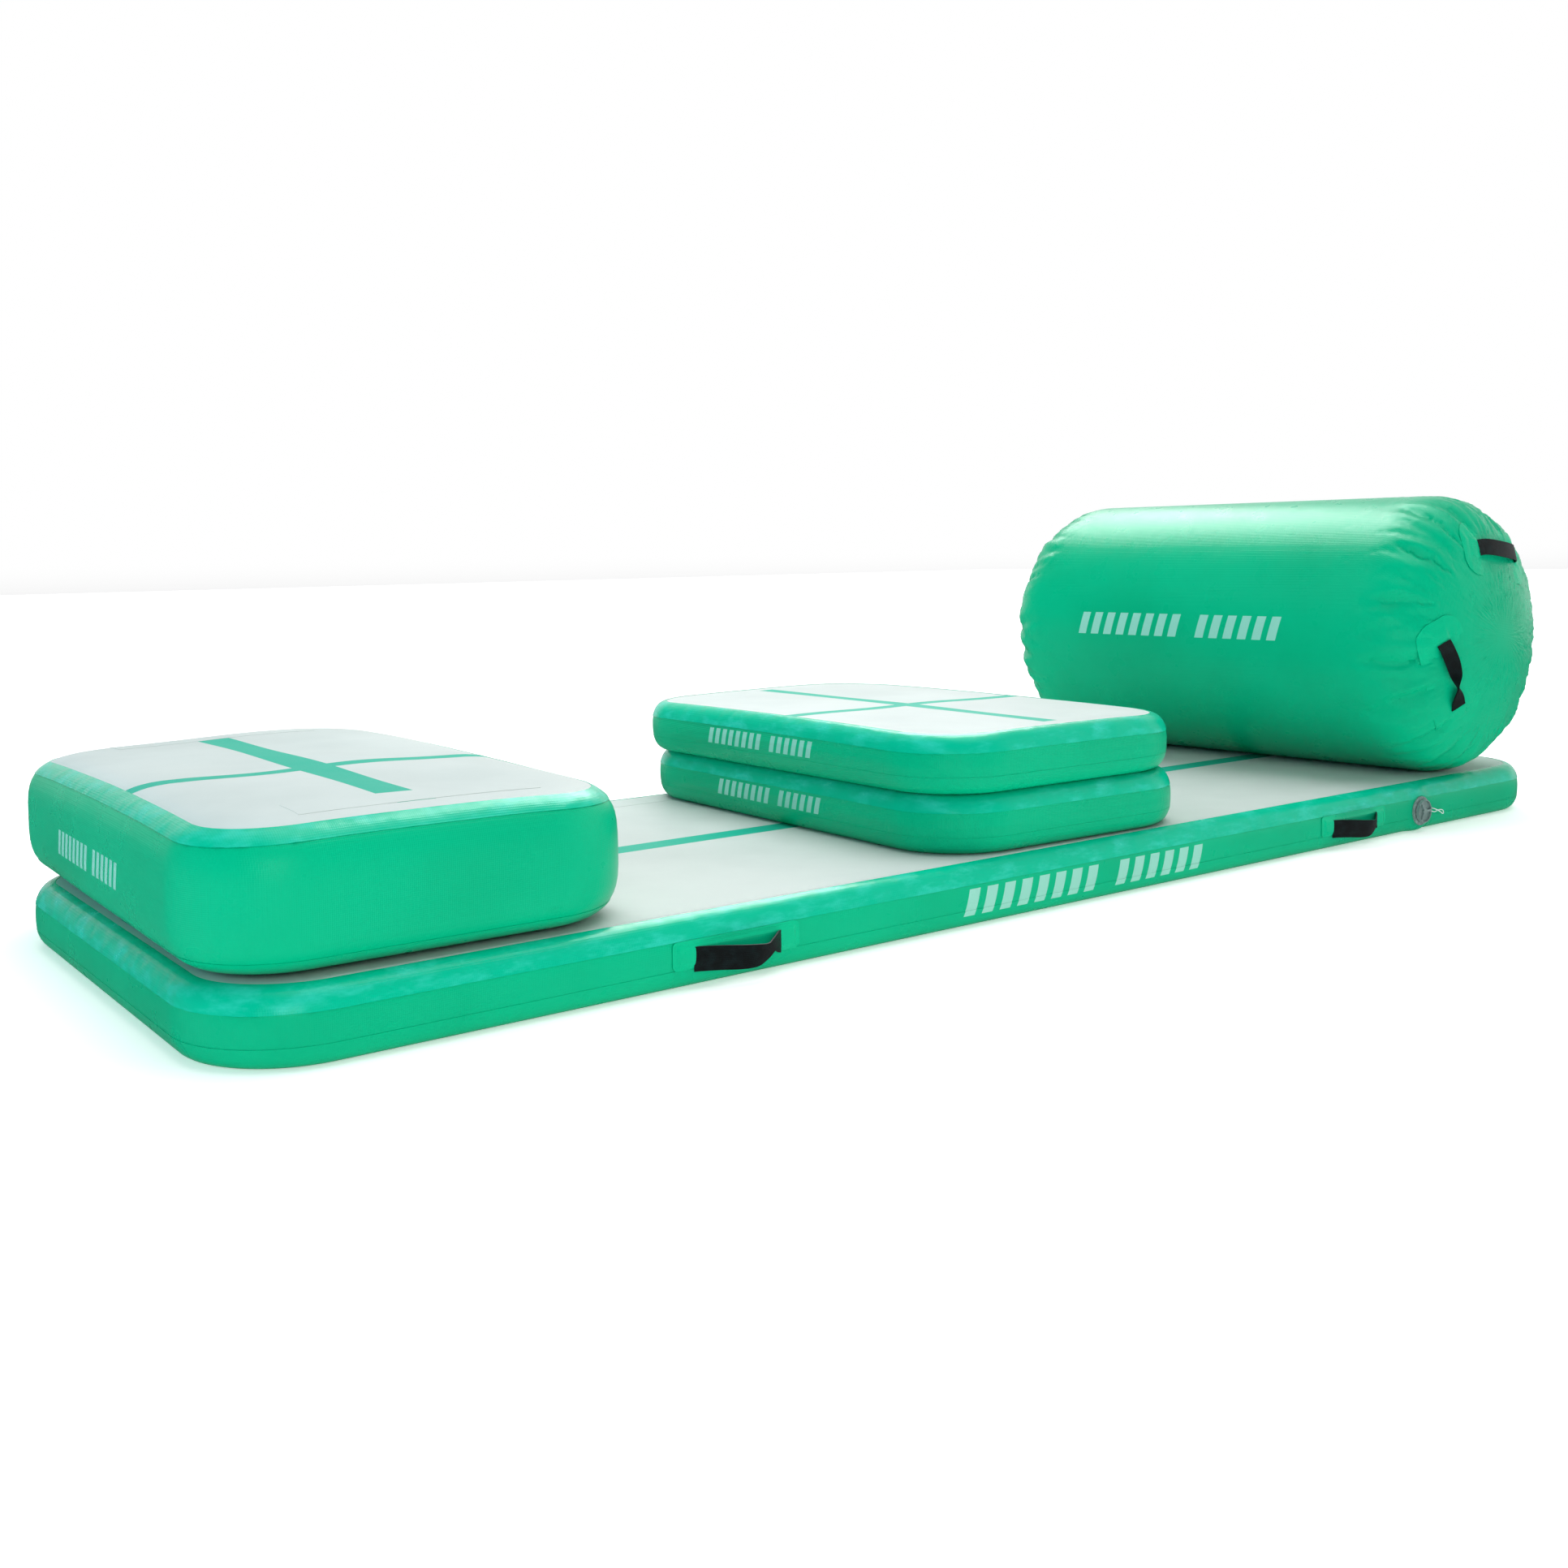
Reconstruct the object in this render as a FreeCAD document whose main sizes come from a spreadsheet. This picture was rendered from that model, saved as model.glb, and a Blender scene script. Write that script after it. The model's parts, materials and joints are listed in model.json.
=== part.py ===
"""Inflatable air track set: floor mat, air block, two air boards and air roll.

Every air chamber is built the way it is welded: coated panels, a side band,
edge tapes over the seams, drop-stitch threads inside, a one-way valve and
webbing strap handles.  The origin is the centre of the mat's underside, X runs
along the mat, +Z is up.
"""
import FreeCAD, Part
import math
import os
import re
import Sketcher
from FreeCAD import Placement, Rotation, Vector

doc = FreeCAD.newDocument("AirTrackSet")
pieces = []
FAR_SIDE = 2000.0
X_AXIS, Y_AXIS, Z_AXIS = Vector(1, 0, 0), Vector(0, 1, 0), Vector(0, 0, 1)

# ---------------------------------------------------------------- driving dimensions
SIZES = {
    # floor mat
    "mat_length": 3006, "mat_width": 1000, "mat_height": 100, "mat_corner": 157, "mat_edge": 35,
    # air block
    "block_length": 615, "block_width": 1056, "block_height": 195, "block_corner": 143,
    "block_edge": 62, "block_x": -1190, "block_y": 44, "block_turn": -0.92,
    # air boards, stacked in two
    "board_length": 626, "board_width": 992, "board_height": 101, "board_corner": 146,
    "board_edge": 35, "lower_x": 1.4, "lower_y": 23.7, "lower_turn": -1.81,
    "upper_x": -15, "upper_y": 20.3, "upper_turn": -1.24,
    # air roll, a barrel with domed ends lying across the mat
    "roll_radius": 302, "roll_half_length": 601, "roll_shoulder": 140, "roll_dome": 582,
    "roll_seam": 506, "roll_x": 1170, "roll_y": 31, "roll_turn": 1.79, "roll_seam_tape": 30,
    # coated fabric: side bands, tapes over the seams, drop-stitch panels
    "band_sheet": 1.2, "tape_sheet": 0.8, "panel_sheet": 2.0, "tape_reach": 30, "tape_lap": 2,
    "strip_sheet": 0.6, "strip_width": 70, "rest_gap": 0.3,
    "thread_pitch": 150, "thread_radius": 0.6,
    # webbing strap handles
    "strap_length": 148, "strap_bow": 30, "strap_width": 35, "strap_sheet": 2.5,
    "strap_root": 4, "strap_taper": 0.8, "strap_spare": 2, "strap_height": 43,
    "tab_length": 24, "tab_depth": 9, "tab_gap": 2,
    "left_strap_x": -768, "right_strap_x": 746, "mat_patch_length": 220,
    "roll_patch_length": 250, "roll_patch_width": 120, "roll_patch_corner": 40,
    "roll_strap_radius": 180, "high_strap_angle": 82, "low_strap_angle": 205,
    # one-way valve, measured from the wall's outer plane outwards
    "valve_x": 987, "valve_height": 44, "valve_reach": 40,
    "flange_radius": 30, "flange_sheet": 3,
    "barrel_radius": 21, "barrel_depth": 28, "socket_radius": 16.8, "socket_depth": 6,
    "seat_radius": 11, "seat_sheet": 2, "chamber_radius": 17, "chamber_depth": 26,
    "guide_radius": 3.3, "vent_radius": 4, "vent_ring": 10.5, "fit_gap": 0.4, "thread_gap": 0.1,
    "nut_radius": 27, "nut_depth": 14, "collar_radius": 31, "collar_depth": 9,
    "neck_radius": 16.3, "neck_depth": 3, "cap_radius": 24, "cap_sheet": 2.5, "cap_rim": 2,
    "hub_radius": 6, "rib_width": 5, "rib_rise": 4, "ring_sheet": 1.5, "ring_outer": 22, "ring_bore": 16.9,
    "disc_radius": 13.5, "disc_sheet": 2, "seal_radius": 14, "seal_sheet": 1.2,
    "stem_radius": 2.8, "stem_top": 1.5, "stem_tail": 31,
    "spring_radius": 8, "spring_wire": 0.7, "spring_pitch": 3.2,
    "lug_reach": 33, "lug_width": 5, "lug_root": 2, "lug_gap": 1, "tether_radius": 0.9,
}

sheet = doc.addObject("Spreadsheet::Sheet", "Sizes")
for row, (alias, amount) in enumerate(SIZES.items(), start=1):
    sheet.set("A%d" % row, alias)
    sheet.set("B%d" % row, str(amount))
    sheet.setAlias("B%d" % row, alias)
doc.recompute()


def size(alias):
    """The sheet's value of one driving dimension."""
    return float(sheet.get(alias))


def cell(text):
    """An expression on the sheet: every alias in the text gets the sheet's name."""
    return re.sub("[a-z_]+", lambda word: "Sizes." * (word[0] in SIZES) + word[0], text)


# ---------------------------------------------------------------- building blocks
def keep(piece, label, place=None):
    """Name a finished sub-part and put it in its place."""
    piece.Label = label
    if place is not None:
        piece.Placement = place
    pieces.append(piece)
    return piece


def origin_plane(body, role):
    return next(plane for plane in body.Origin.OriginFeatures if plane.Role == role)


def sketch_on(body, name, role="XY_Plane", lift=None):
    """A sketch on one of the body's own origin planes, lifted along its normal."""
    sketch = body.newObject("Sketcher::SketchObject", name)
    sketch.AttachmentSupport = [(origin_plane(body, role), "")]
    sketch.MapMode = "FlatFace"
    if lift is not None:
        sketch.setExpression(".AttachmentOffset.Base.z", cell(lift))
    return sketch


def bind(sketch, constraint, name, expression):
    """Add a named dimension to a sketch and bind it to the sheet."""
    index = sketch.addConstraint(constraint)
    sketch.renameConstraint(index, name)
    sketch.setExpression("Constraints." + name, cell(expression))


def draw_rectangle(sketch, length, width):
    """A rectangle centred on the sketch's origin."""
    along, across = 300.0, 200.0
    corners = [Vector(-along, -across, 0), Vector(along, -across, 0),
               Vector(along, across, 0), Vector(-along, across, 0)]
    for start in range(4):
        line = Part.LineSegment(corners[start], corners[(start + 1) % 4])
        sketch.addGeometry(line, False)
    for side in range(4):
        sketch.addConstraint(Sketcher.Constraint("Coincident", side, 2, (side + 1) % 4, 1))
    for side, direction in enumerate(("Horizontal", "Vertical", "Horizontal", "Vertical")):
        sketch.addConstraint(Sketcher.Constraint(direction, side))
    sketch.addConstraint(Sketcher.Constraint("Symmetric", 0, 1, 1, 2, -1, 1))
    bind(sketch, Sketcher.Constraint("DistanceX", 0, 1, 0, 2, 2 * along), "along", length)
    bind(sketch, Sketcher.Constraint("DistanceY", 1, 1, 1, 2, 2 * across), "across", width)


def edge_names(shape, wanted):
    return ["Edge%d" % (number + 1) for number, edge in enumerate(shape.Edges) if wanted(edge)]


def is_upright(edge):
    return edge.BoundBox.XLength < 1e-6 and edge.BoundBox.YLength < 1e-6


def is_level(edge):
    return edge.BoundBox.ZLength < 1e-6


def round_edges(body, base, name, wanted, radius):
    doc.recompute()
    fillet = body.newObject("PartDesign::Fillet", name)
    fillet.Base = (base, edge_names(base.Shape, wanted))
    fillet.setExpression("Radius", cell(radius))
    return fillet


def plate(name, length, width, thickness, corner, lift="0"):
    """A flat plate with rounded corners, centred on the Z axis, its underside at lift."""
    body = doc.addObject("PartDesign::Body", name)
    outline = sketch_on(body, name + "Outline", lift=lift)
    draw_rectangle(outline, length, width)
    pad = body.newObject("PartDesign::Pad", name + "Pad")
    pad.Profile = outline
    pad.setExpression("Length", cell(thickness))
    body.Tip = round_edges(body, pad, name + "Corners", is_upright, corner)
    doc.recompute()
    return body


def pillow(name, chamber, inset="0"):
    """The chamber's solid envelope, moved in by inset: rounded corners, rounded rims."""
    body = plate(name, "%s_length - 2 * ( %s )" % (chamber, inset),
                 "%s_width - 2 * ( %s )" % (chamber, inset),
                 "%s_height - 2 * ( %s )" % (chamber, inset),
                 "%s_corner - ( %s )" % (chamber, inset), lift=inset)
    body.Tip = round_edges(body, body.Tip, name + "Rims", is_level,
                           "%s_edge - ( %s )" % (chamber, inset))
    doc.recompute()
    return body


def block_of(name, low, high, place=None):
    """A rectangular block from one corner to the other."""
    box = doc.addObject("Part::Box", name)
    for side, axis, start, end in zip(("Length", "Width", "Height"), "xyz", low, high):
        box.setExpression(side, cell("( %s ) - ( %s )" % (end, start)))
        if place is None:
            box.setExpression(".Placement.Base." + axis, cell(start))
    if place is not None:
        corner = Vector(*[float(sheet_value(start)) for start in low])
        box.Placement = place.multiply(Placement(corner, Rotation()))
    return box


def sheet_value(expression):
    """The number that a sum of the sheet's sizes comes to."""
    probe = doc.getObject("Probe") or doc.addObject("App::FeaturePython", "Probe")
    if "Amount" not in probe.PropertiesList:
        probe.addProperty("App::PropertyFloat", "Amount")
    probe.setExpression("Amount", cell(expression))
    doc.recompute([probe])
    return probe.Amount


def rod(name, radius, bottom, top, along=None):
    """A round rod on the Z axis from bottom to top, or moved sideways by along."""
    cylinder = doc.addObject("Part::Cylinder", name)
    cylinder.setExpression("Radius", cell(radius))
    cylinder.setExpression("Height", cell("( %s ) - ( %s )" % (top, bottom)))
    cylinder.setExpression(".Placement.Base.z", cell(bottom))
    if along is not None:
        for axis, distance in zip("xy", along):
            cylinder.setExpression(".Placement.Base." + axis, cell(distance))
    return cylinder


def fuse(name, parts):
    joined = doc.addObject("Part::MultiFuse", name)
    joined.Shapes = parts
    return joined


def group(name, parts):
    joined = doc.addObject("Part::Compound", name)
    joined.Links = parts
    return joined


def cut(name, base, tools):
    """base without the tools."""
    trimmed = doc.addObject("Part::Cut", name)
    trimmed.Base = base
    trimmed.Tool = tools[0] if len(tools) == 1 else fuse(name + "Tools", tools)
    return trimmed


def common(name, one, other):
    shared = doc.addObject("Part::Common", name)
    shared.Base = one
    shared.Tool = other
    return shared


# ---------------------------------------------------------------- one-way valve
def valve_hole(name, place):
    """The round hole that a wall needs for the valve's barrel."""
    hole = rod(name, "barrel_radius + fit_gap", "-valve_reach", "valve_reach")
    hole.setExpression(".Placement.Base.z", None)
    hole.Placement = place.multiply(Placement(Vector(0, 0, -size("valve_reach")), Rotation()))
    return hole


def make_valve(prefix, place, ring=False):
    """Housing, cap and plunger of one valve.  Local Z points out of the chamber."""
    flange = rod(prefix + "Flange", "flange_radius", "0", "flange_sheet")
    barrel = rod(prefix + "Barrel", "barrel_radius", "-barrel_depth", "0")
    stock = [flange, barrel]
    if ring:
        stock.append(block_of(prefix + "Lug", ("flange_radius - lug_root", "0", "0"),
                              ("lug_reach", "lug_width", "flange_sheet")))
    socket = rod(prefix + "Socket", "socket_radius", "-socket_depth", "flange_sheet + 1")
    seat = rod(prefix + "Seat", "seat_radius", "-socket_depth - seat_sheet", "0")
    chamber = rod(prefix + "Chamber", "chamber_radius", "-chamber_depth",
                  "-socket_depth - seat_sheet")
    guide = rod(prefix + "Guide", "guide_radius", "-barrel_depth - 1", "0")
    vents = []
    for turn in range(3):
        angle = math.radians(120 * turn)
        vents.append(rod("%sVent%d" % (prefix, turn), "vent_radius", "-barrel_depth - 1",
                         "-chamber_depth", along=("vent_ring * %.4f" % math.cos(angle),
                                                  "vent_ring * %.4f" % math.sin(angle))))
    housing = cut(prefix + "Housing", fuse(prefix + "Stock", stock),
                  [socket, seat, chamber, guide] + vents)
    keep(housing, prefix + "_valve_housing", place)

    # cap: a neck in the socket and a dished head, with a hub and three ribs to turn it by
    lift = "flange_sheet + fit_gap" + (" + ring_sheet + fit_gap" if ring else "")
    floor, top = lift + " + cap_sheet", lift + " + cap_sheet + rib_rise"
    neck = rod(prefix + "Neck", "neck_radius", "-neck_depth", lift)
    head = cut(prefix + "Head", rod(prefix + "Drum", "cap_radius", lift, top),
               [rod(prefix + "Dish", "cap_radius - cap_rim", floor, top + " + 1")])
    grip = [rod(prefix + "Hub", "hub_radius", lift, top)]
    for turn in range(3):
        rib = block_of("%sRib%d" % (prefix, turn), ("0", "-rib_width / 2", lift),
                       ("cap_radius - cap_rim / 2", "rib_width / 2", top))
        for axis in "xyz":
            rib.setExpression(".Placement.Base." + axis, None)
        rib.Placement = Placement(Vector(), Rotation(Z_AXIS, 120 * turn)).multiply(
            Placement(Vector(0, -size("rib_width") / 2, sheet_value(lift)), Rotation()))
        grip.append(rib)
    hollow = rod(prefix + "Hollow", "neck_radius - cap_rim", "-neck_depth - 1", lift)
    keep(cut(prefix + "Cap", fuse(prefix + "CapStock", [neck, head] + grip), [hollow]),
         prefix + "_valve_cap", place)

    # plunger: a sealing disc under the seat on a stem that is pressed to let air out
    seal_top = "-socket_depth - seat_sheet - 0.2"
    disc_top = seal_top + " - seal_sheet"
    disc = rod(prefix + "Disc", "disc_radius", disc_top + " - disc_sheet", disc_top)
    stem = rod(prefix + "Stem", "stem_radius", "-stem_tail", "-stem_top")
    keep(fuse(prefix + "Plunger", [disc, stem]), prefix + "_valve_plunger", place)
    return seal_top, disc_top


def make_valve_inside(prefix, place, cavity, envelope, seal_top, disc_top):
    """Clamping nut, collar, seal and spring of the valve, and the cap's retaining ring."""
    nut = cut(prefix + "NutBlank",
              rod(prefix + "NutRound", "nut_radius", "-nut_depth", "-1"),
              [rod(prefix + "NutBore", "barrel_radius + thread_gap", "-nut_depth - 1", "0")])
    nut.Placement = place
    keep(common(prefix + "Nut", nut, cavity), prefix + "_valve_nut")
    collar = cut(prefix + "CollarBlank",
                 rod(prefix + "CollarRound", "collar_radius", "-collar_depth", "0"),
                 [rod(prefix + "CollarBore", "barrel_radius", "-collar_depth - 1", "1")])
    collar.Placement = place
    keep(cut(prefix + "Collar", collar, [envelope]), prefix + "_valve_collar")
    seal = cut(prefix + "Seal", rod(prefix + "SealRound", "seal_radius", disc_top, seal_top),
               [rod(prefix + "SealBore", "stem_radius", disc_top + " - 1", seal_top + " + 1")])
    keep(seal, prefix + "_valve_seal", place)

    low = "flange_sheet + fit_gap"
    high = low + " + ring_sheet"
    ring = cut(prefix + "Ring",
               fuse(prefix + "RingStock", [
                   rod(prefix + "RingRound", "ring_outer", low, high),
                   block_of(prefix + "RingLug", ("ring_bore + lug_root", "-lug_width - lug_gap", low),
                            ("lug_reach", "-lug_gap", high))]),
               [rod(prefix + "RingBore", "ring_bore", low + " - 1", high + " + 1")])
    keep(ring, prefix + "_cap_ring", place)

    spring = doc.addObject("PartDesign::Body", prefix + "Spring")
    wire = sketch_on(spring, prefix + "Wire", "XZ_Plane")
    wire.addGeometry(Part.Circle(Vector(size("spring_radius"), 0, 0), Z_AXIS,
                                 size("spring_wire")), False)
    bind(wire, Sketcher.Constraint("Radius", 0, size("spring_wire")), "wire", "spring_wire")
    bind(wire, Sketcher.Constraint("DistanceX", -1, 1, 0, 3, size("spring_radius")),
         "coil", "spring_radius")
    bind(wire, Sketcher.Constraint("DistanceY", 0, 3, -1, 1, size("chamber_depth")),
         "depth", "chamber_depth - spring_wire - 0.1")
    doc.recompute()
    coil = spring.newObject("PartDesign::AdditiveHelix", prefix + "Coil")
    coil.Profile = wire
    coil.ReferenceAxis = (wire, ["V_Axis"])
    coil.Mode = "pitch-height-angle"
    coil.setExpression("Pitch", cell("spring_pitch"))
    coil.setExpression("Height", cell("chamber_depth + ( %s ) - disc_sheet - 2 * spring_wire - 0.2"
                                      % disc_top))
    keep(spring, prefix + "_valve_spring", place)


# ---------------------------------------------------------------- flat air chambers
def make_chamber(chamber, name, place, valve_place):
    """Panels, side band, edge tapes, threads and valve of one drop-stitch chamber."""
    envelope = pillow(name + "Envelope", chamber)
    under_tape = pillow(name + "UnderTape", chamber, "tape_sheet")
    cavity = pillow(name + "Cavity", chamber, "tape_sheet + band_sheet")
    margin = "2 * ( %s_edge + tape_lap )" % chamber
    length, width = "%s_length - %s" % (chamber, margin), "%s_width - %s" % (chamber, margin)
    corner = "%s_corner - %s_edge - tape_lap" % (chamber, chamber)
    height = chamber + "_height"
    opening = plate(name + "Opening", length, width, height + " + 20", corner, lift="-10")
    waist = block_of(name + "Waist", ("-%g" % FAR_SIDE, "-%g" % FAR_SIDE, "tape_reach"),
                     ("%g" % FAR_SIDE, "%g" % FAR_SIDE, height + " - tape_reach"))
    hole = valve_hole(name + "ValveHole", valve_place)

    keep(plate(name + "Top", length, width, "panel_sheet", corner, lift=height + " - panel_sheet"),
         name + "_top_panel", place)
    keep(plate(name + "Bottom", length, width, "panel_sheet", corner), name + "_bottom_panel", place)
    keep(cut(name + "Band", under_tape, [cavity, opening, hole]), name + "_side_band", place)
    keep(cut(name + "Tapes", envelope, [under_tape, opening, waist, hole]),
         name + "_edge_tapes", place)

    # drop-stitch threads, one drawn for every patch of a pitch's width
    threads = []
    pitch = size("thread_pitch")
    reach_x = size(chamber + "_length") / 2 - size(chamber + "_edge") - pitch / 3
    reach_y = size(chamber + "_width") / 2 - size(chamber + "_edge") - pitch / 3
    for column in range(-int(reach_x / pitch), int(reach_x / pitch) + 1):
        for line in range(-int(reach_y / pitch), int(reach_y / pitch) + 1):
            foot = Vector(column * pitch, line * pitch, size("panel_sheet"))
            threads.append(Part.makeCylinder(size("thread_radius"),
                                             size(height) - 2 * size("panel_sheet"), foot))
    bundle = doc.addObject("Part::Feature", name + "Threads")
    bundle.Shape = Part.makeCompound(threads)
    keep(bundle, name + "_drop_threads", place)
    return envelope, under_tape, cavity


def make_seam_strips(chamber, name, place):
    """Two flat tapes on the top panel, one beside each long rim."""
    height = chamber + "_height"
    edge_in = "%s_width / 2 - %s_edge - tape_lap" % (chamber, chamber)
    reach = "%s_length / 2 - %s_corner" % (chamber, chamber)
    strips = []
    for side, low, high in (("Front", "-( %s )" % edge_in, "-( %s ) + strip_width" % edge_in),
                            ("Back", "( %s ) - strip_width" % edge_in, edge_in)):
        strips.append(block_of(name + side + "Strip", ("-( %s )" % reach, low, height),
                               (reach, high, height + " + strip_sheet")))
    keep(group(name + "Strips", strips), name + "_seam_strips", place)


# ---------------------------------------------------------------- strap handles
def make_strap(name, label, place):
    """A webbing loop bowed out along local -Y, its ends on the local X axis."""
    half, bow = size("strap_length") / 2, size("strap_bow")
    radius = (half ** 2 + bow ** 2) / (2 * bow)
    centre = Vector(0, radius - bow, 0)
    inner = radius - size("strap_sheet")
    drop = size("strap_root") + centre.y
    body = doc.addObject("PartDesign::Body", name)
    bow_sketch = sketch_on(body, name + "Bow")
    ends = []
    for bow_radius in (radius, inner):
        swing = math.asin(drop / bow_radius)
        arc = Part.ArcOfCircle(Part.Circle(centre, Z_AXIS, bow_radius),
                               math.pi + swing, 2 * math.pi - swing)
        bow_sketch.addGeometry(arc, False)
        ends.append((arc.StartPoint, arc.EndPoint))
    bow_sketch.addGeometry(Part.LineSegment(ends[0][0], ends[1][0]), False)
    bow_sketch.addGeometry(Part.LineSegment(ends[0][1], ends[1][1]), False)
    for first, first_end, second, second_end in ((0, 1, 2, 1), (1, 1, 2, 2), (0, 2, 3, 1), (1, 2, 3, 2)):
        bow_sketch.addConstraint(
            Sketcher.Constraint("Coincident", first, first_end, second, second_end))
    bow_sketch.addConstraint(Sketcher.Constraint("Coincident", 0, 3, 1, 3))
    bow_sketch.addConstraint(Sketcher.Constraint("PointOnObject", 0, 3, -2))
    bind(bow_sketch, Sketcher.Constraint("Radius", 0, radius), "outer",
         "( strap_length * strap_length / 4 + strap_bow * strap_bow ) / ( 2 * strap_bow )")
    bind(bow_sketch, Sketcher.Constraint("Radius", 1, inner), "inner",
         "( strap_length * strap_length / 4 + strap_bow * strap_bow ) / ( 2 * strap_bow ) - strap_sheet")
    pad = body.newObject("PartDesign::Pad", name + "Web")
    pad.Profile = bow_sketch
    pad.setExpression("Length", cell("strap_width"))
    pad.Midplane = True

    # the webbing gathers towards its sewn roots, so the loop can swing up and down
    taper_sketch = sketch_on(body, name + "Gather", "YZ_Plane")
    half_width = "strap_width / 2 + strap_spare"
    wide = sheet_value(half_width)
    deep = wide / size("strap_taper")
    for side, word in ((-1, "low"), (1, "high")):
        start = taper_sketch.GeometryCount
        corners = [Vector(0, 0, 0), Vector(-deep, side * wide, 0), Vector(0, side * wide, 0)]
        for corner in range(3):
            taper_sketch.addGeometry(
                Part.LineSegment(corners[corner], corners[(corner + 1) % 3]), False)
        for corner in range(3):
            taper_sketch.addConstraint(Sketcher.Constraint(
                "Coincident", start + corner, 2, start + (corner + 1) % 3, 1))
        rim = start + 1
        taper_sketch.addConstraint(Sketcher.Constraint("Coincident", start, 1, -1, 1))
        taper_sketch.addConstraint(Sketcher.Constraint("Horizontal", rim))
        taper_sketch.addConstraint(Sketcher.Constraint("PointOnObject", rim, 2, -2))
        ends = (-1, 1, rim, 2) if side > 0 else (rim, 2, -1, 1)
        bind(taper_sketch, Sketcher.Constraint("DistanceX", rim, 1, rim, 2, deep),
             word + "_deep", "( %s ) / strap_taper" % half_width)
        bind(taper_sketch, Sketcher.Constraint("DistanceY", *ends, wide),
             word + "_wide", half_width)
    pocket = body.newObject("PartDesign::Pocket", name + "GatherCut")
    pocket.Profile = taper_sketch
    pocket.Length = 4 * size("strap_length")
    pocket.Midplane = True
    body.Tip = pocket
    return keep(body, label, place)


def strap_tabs(name, place, wall):
    """The two sewn ends of a strap, flat on the wall outside the loop's roots."""
    tabs = []
    start = "strap_length / 2 + tab_gap"
    end = start + " + tab_length"
    for side, low, high in (("A", "-( %s )" % end, "-( %s )" % start), ("B", start, end)):
        blank = block_of(name + side, (low, "-strap_sheet", "-strap_width / 2"),
                         (high, "tab_depth", "strap_width / 2"), place)
        tabs.append(cut(name + side + "Trim", blank, [wall]))
    return tabs


# ---------------------------------------------------------------- air roll
def barrel_form(name, inset):
    """The roll's solid envelope about the Y axis, moved in by inset."""
    moved = sheet_value(inset)
    radius, shoulder = size("roll_radius") - moved, size("roll_shoulder") - moved
    dome, half = size("roll_dome") - moved, size("roll_half_length") - moved
    dome_at = half - dome
    hub = radius - shoulder
    shoulder_at = dome_at + math.sqrt((dome - shoulder) ** 2 - hub ** 2)
    lean = math.atan2(shoulder_at - dome_at, hub)
    body = doc.addObject("PartDesign::Body", name)
    outline = sketch_on(body, name + "Outline")
    up = math.pi / 2
    outline.addGeometry([
        Part.LineSegment(Vector(0, -half, 0), Vector(0, half, 0)),
        Part.ArcOfCircle(Part.Circle(Vector(0, dome_at, 0), Z_AXIS, dome), lean, up),
        Part.ArcOfCircle(Part.Circle(Vector(hub, shoulder_at, 0), Z_AXIS, shoulder), 0, lean),
        Part.LineSegment(Vector(radius, shoulder_at, 0), Vector(radius, -shoulder_at, 0)),
        Part.ArcOfCircle(Part.Circle(Vector(hub, -shoulder_at, 0), Z_AXIS, shoulder), -lean, 0),
        Part.ArcOfCircle(Part.Circle(Vector(0, -dome_at, 0), Z_AXIS, dome), -up, -lean),
    ], False)
    for first, first_end, second, second_end in ((1, 1, 2, 2), (2, 1, 3, 1), (3, 2, 4, 2), (4, 1, 5, 2)):
        outline.addConstraint(Sketcher.Constraint("Tangent", first, first_end, second, second_end))
    outline.addConstraint(Sketcher.Constraint("Coincident", 0, 2, 1, 2))
    outline.addConstraint(Sketcher.Constraint("Coincident", 0, 1, 5, 1))
    for arc in (1, 5):
        outline.addConstraint(Sketcher.Constraint("PointOnObject", arc, 3, -2))
    for end in (1, 2):
        outline.addConstraint(Sketcher.Constraint("PointOnObject", 0, end, -2))
    outline.addConstraint(Sketcher.Constraint("Vertical", 3))
    bind(outline, Sketcher.Constraint("DistanceY", -1, 1, 0, 2, half), "far_half",
         "roll_half_length - ( %s )" % inset)
    bind(outline, Sketcher.Constraint("DistanceY", 0, 1, -1, 1, half), "near_half",
         "roll_half_length - ( %s )" % inset)
    bind(outline, Sketcher.Constraint("DistanceX", -1, 1, 3, 1, radius), "barrel",
         "roll_radius - ( %s )" % inset)
    for arc, word, amount in ((1, "dome", dome), (5, "dome", dome),
                              (2, "shoulder", shoulder), (4, "shoulder", shoulder)):
        bind(outline, Sketcher.Constraint("Radius", arc, amount), "%s_%d" % (word, arc),
             "roll_%s - ( %s )" % (word, inset))
    turned = body.newObject("PartDesign::Revolution", name + "Turned")
    turned.Profile = outline
    turned.ReferenceAxis = (outline, ["V_Axis"])
    turned.Angle = 360
    doc.recompute()
    return body


def slice_of(name, low, high):
    """A wide block between two places on the roll's axis."""
    far = "%g" % FAR_SIDE
    return block_of(name, ("-" + far, low, "-" + far), (far, high, far))


def roll_strap_place(angle, far_end):
    """Where a strap stands on the roll's domed end: roots on the patch, loop outwards."""
    outer = size("roll_dome") + size("tape_sheet")
    lean = math.degrees(math.asin(size("roll_strap_radius") / outer))
    height = outer - size("strap_length") ** 2 / (8 * outer)
    end = Rotation(Z_AXIS, 180 if far_end else 0)
    side = 1 if far_end else -1
    dome_at = side * (size("roll_half_length") - size("roll_dome"))
    facing = Rotation(Y_AXIS, 90 - angle).multiply(end).multiply(Rotation(X_AXIS, -lean))
    outwards = facing.multVec(Vector(0, -1, 0))
    return Placement(Vector(0, dome_at, 0) + outwards * height, facing)


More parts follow.
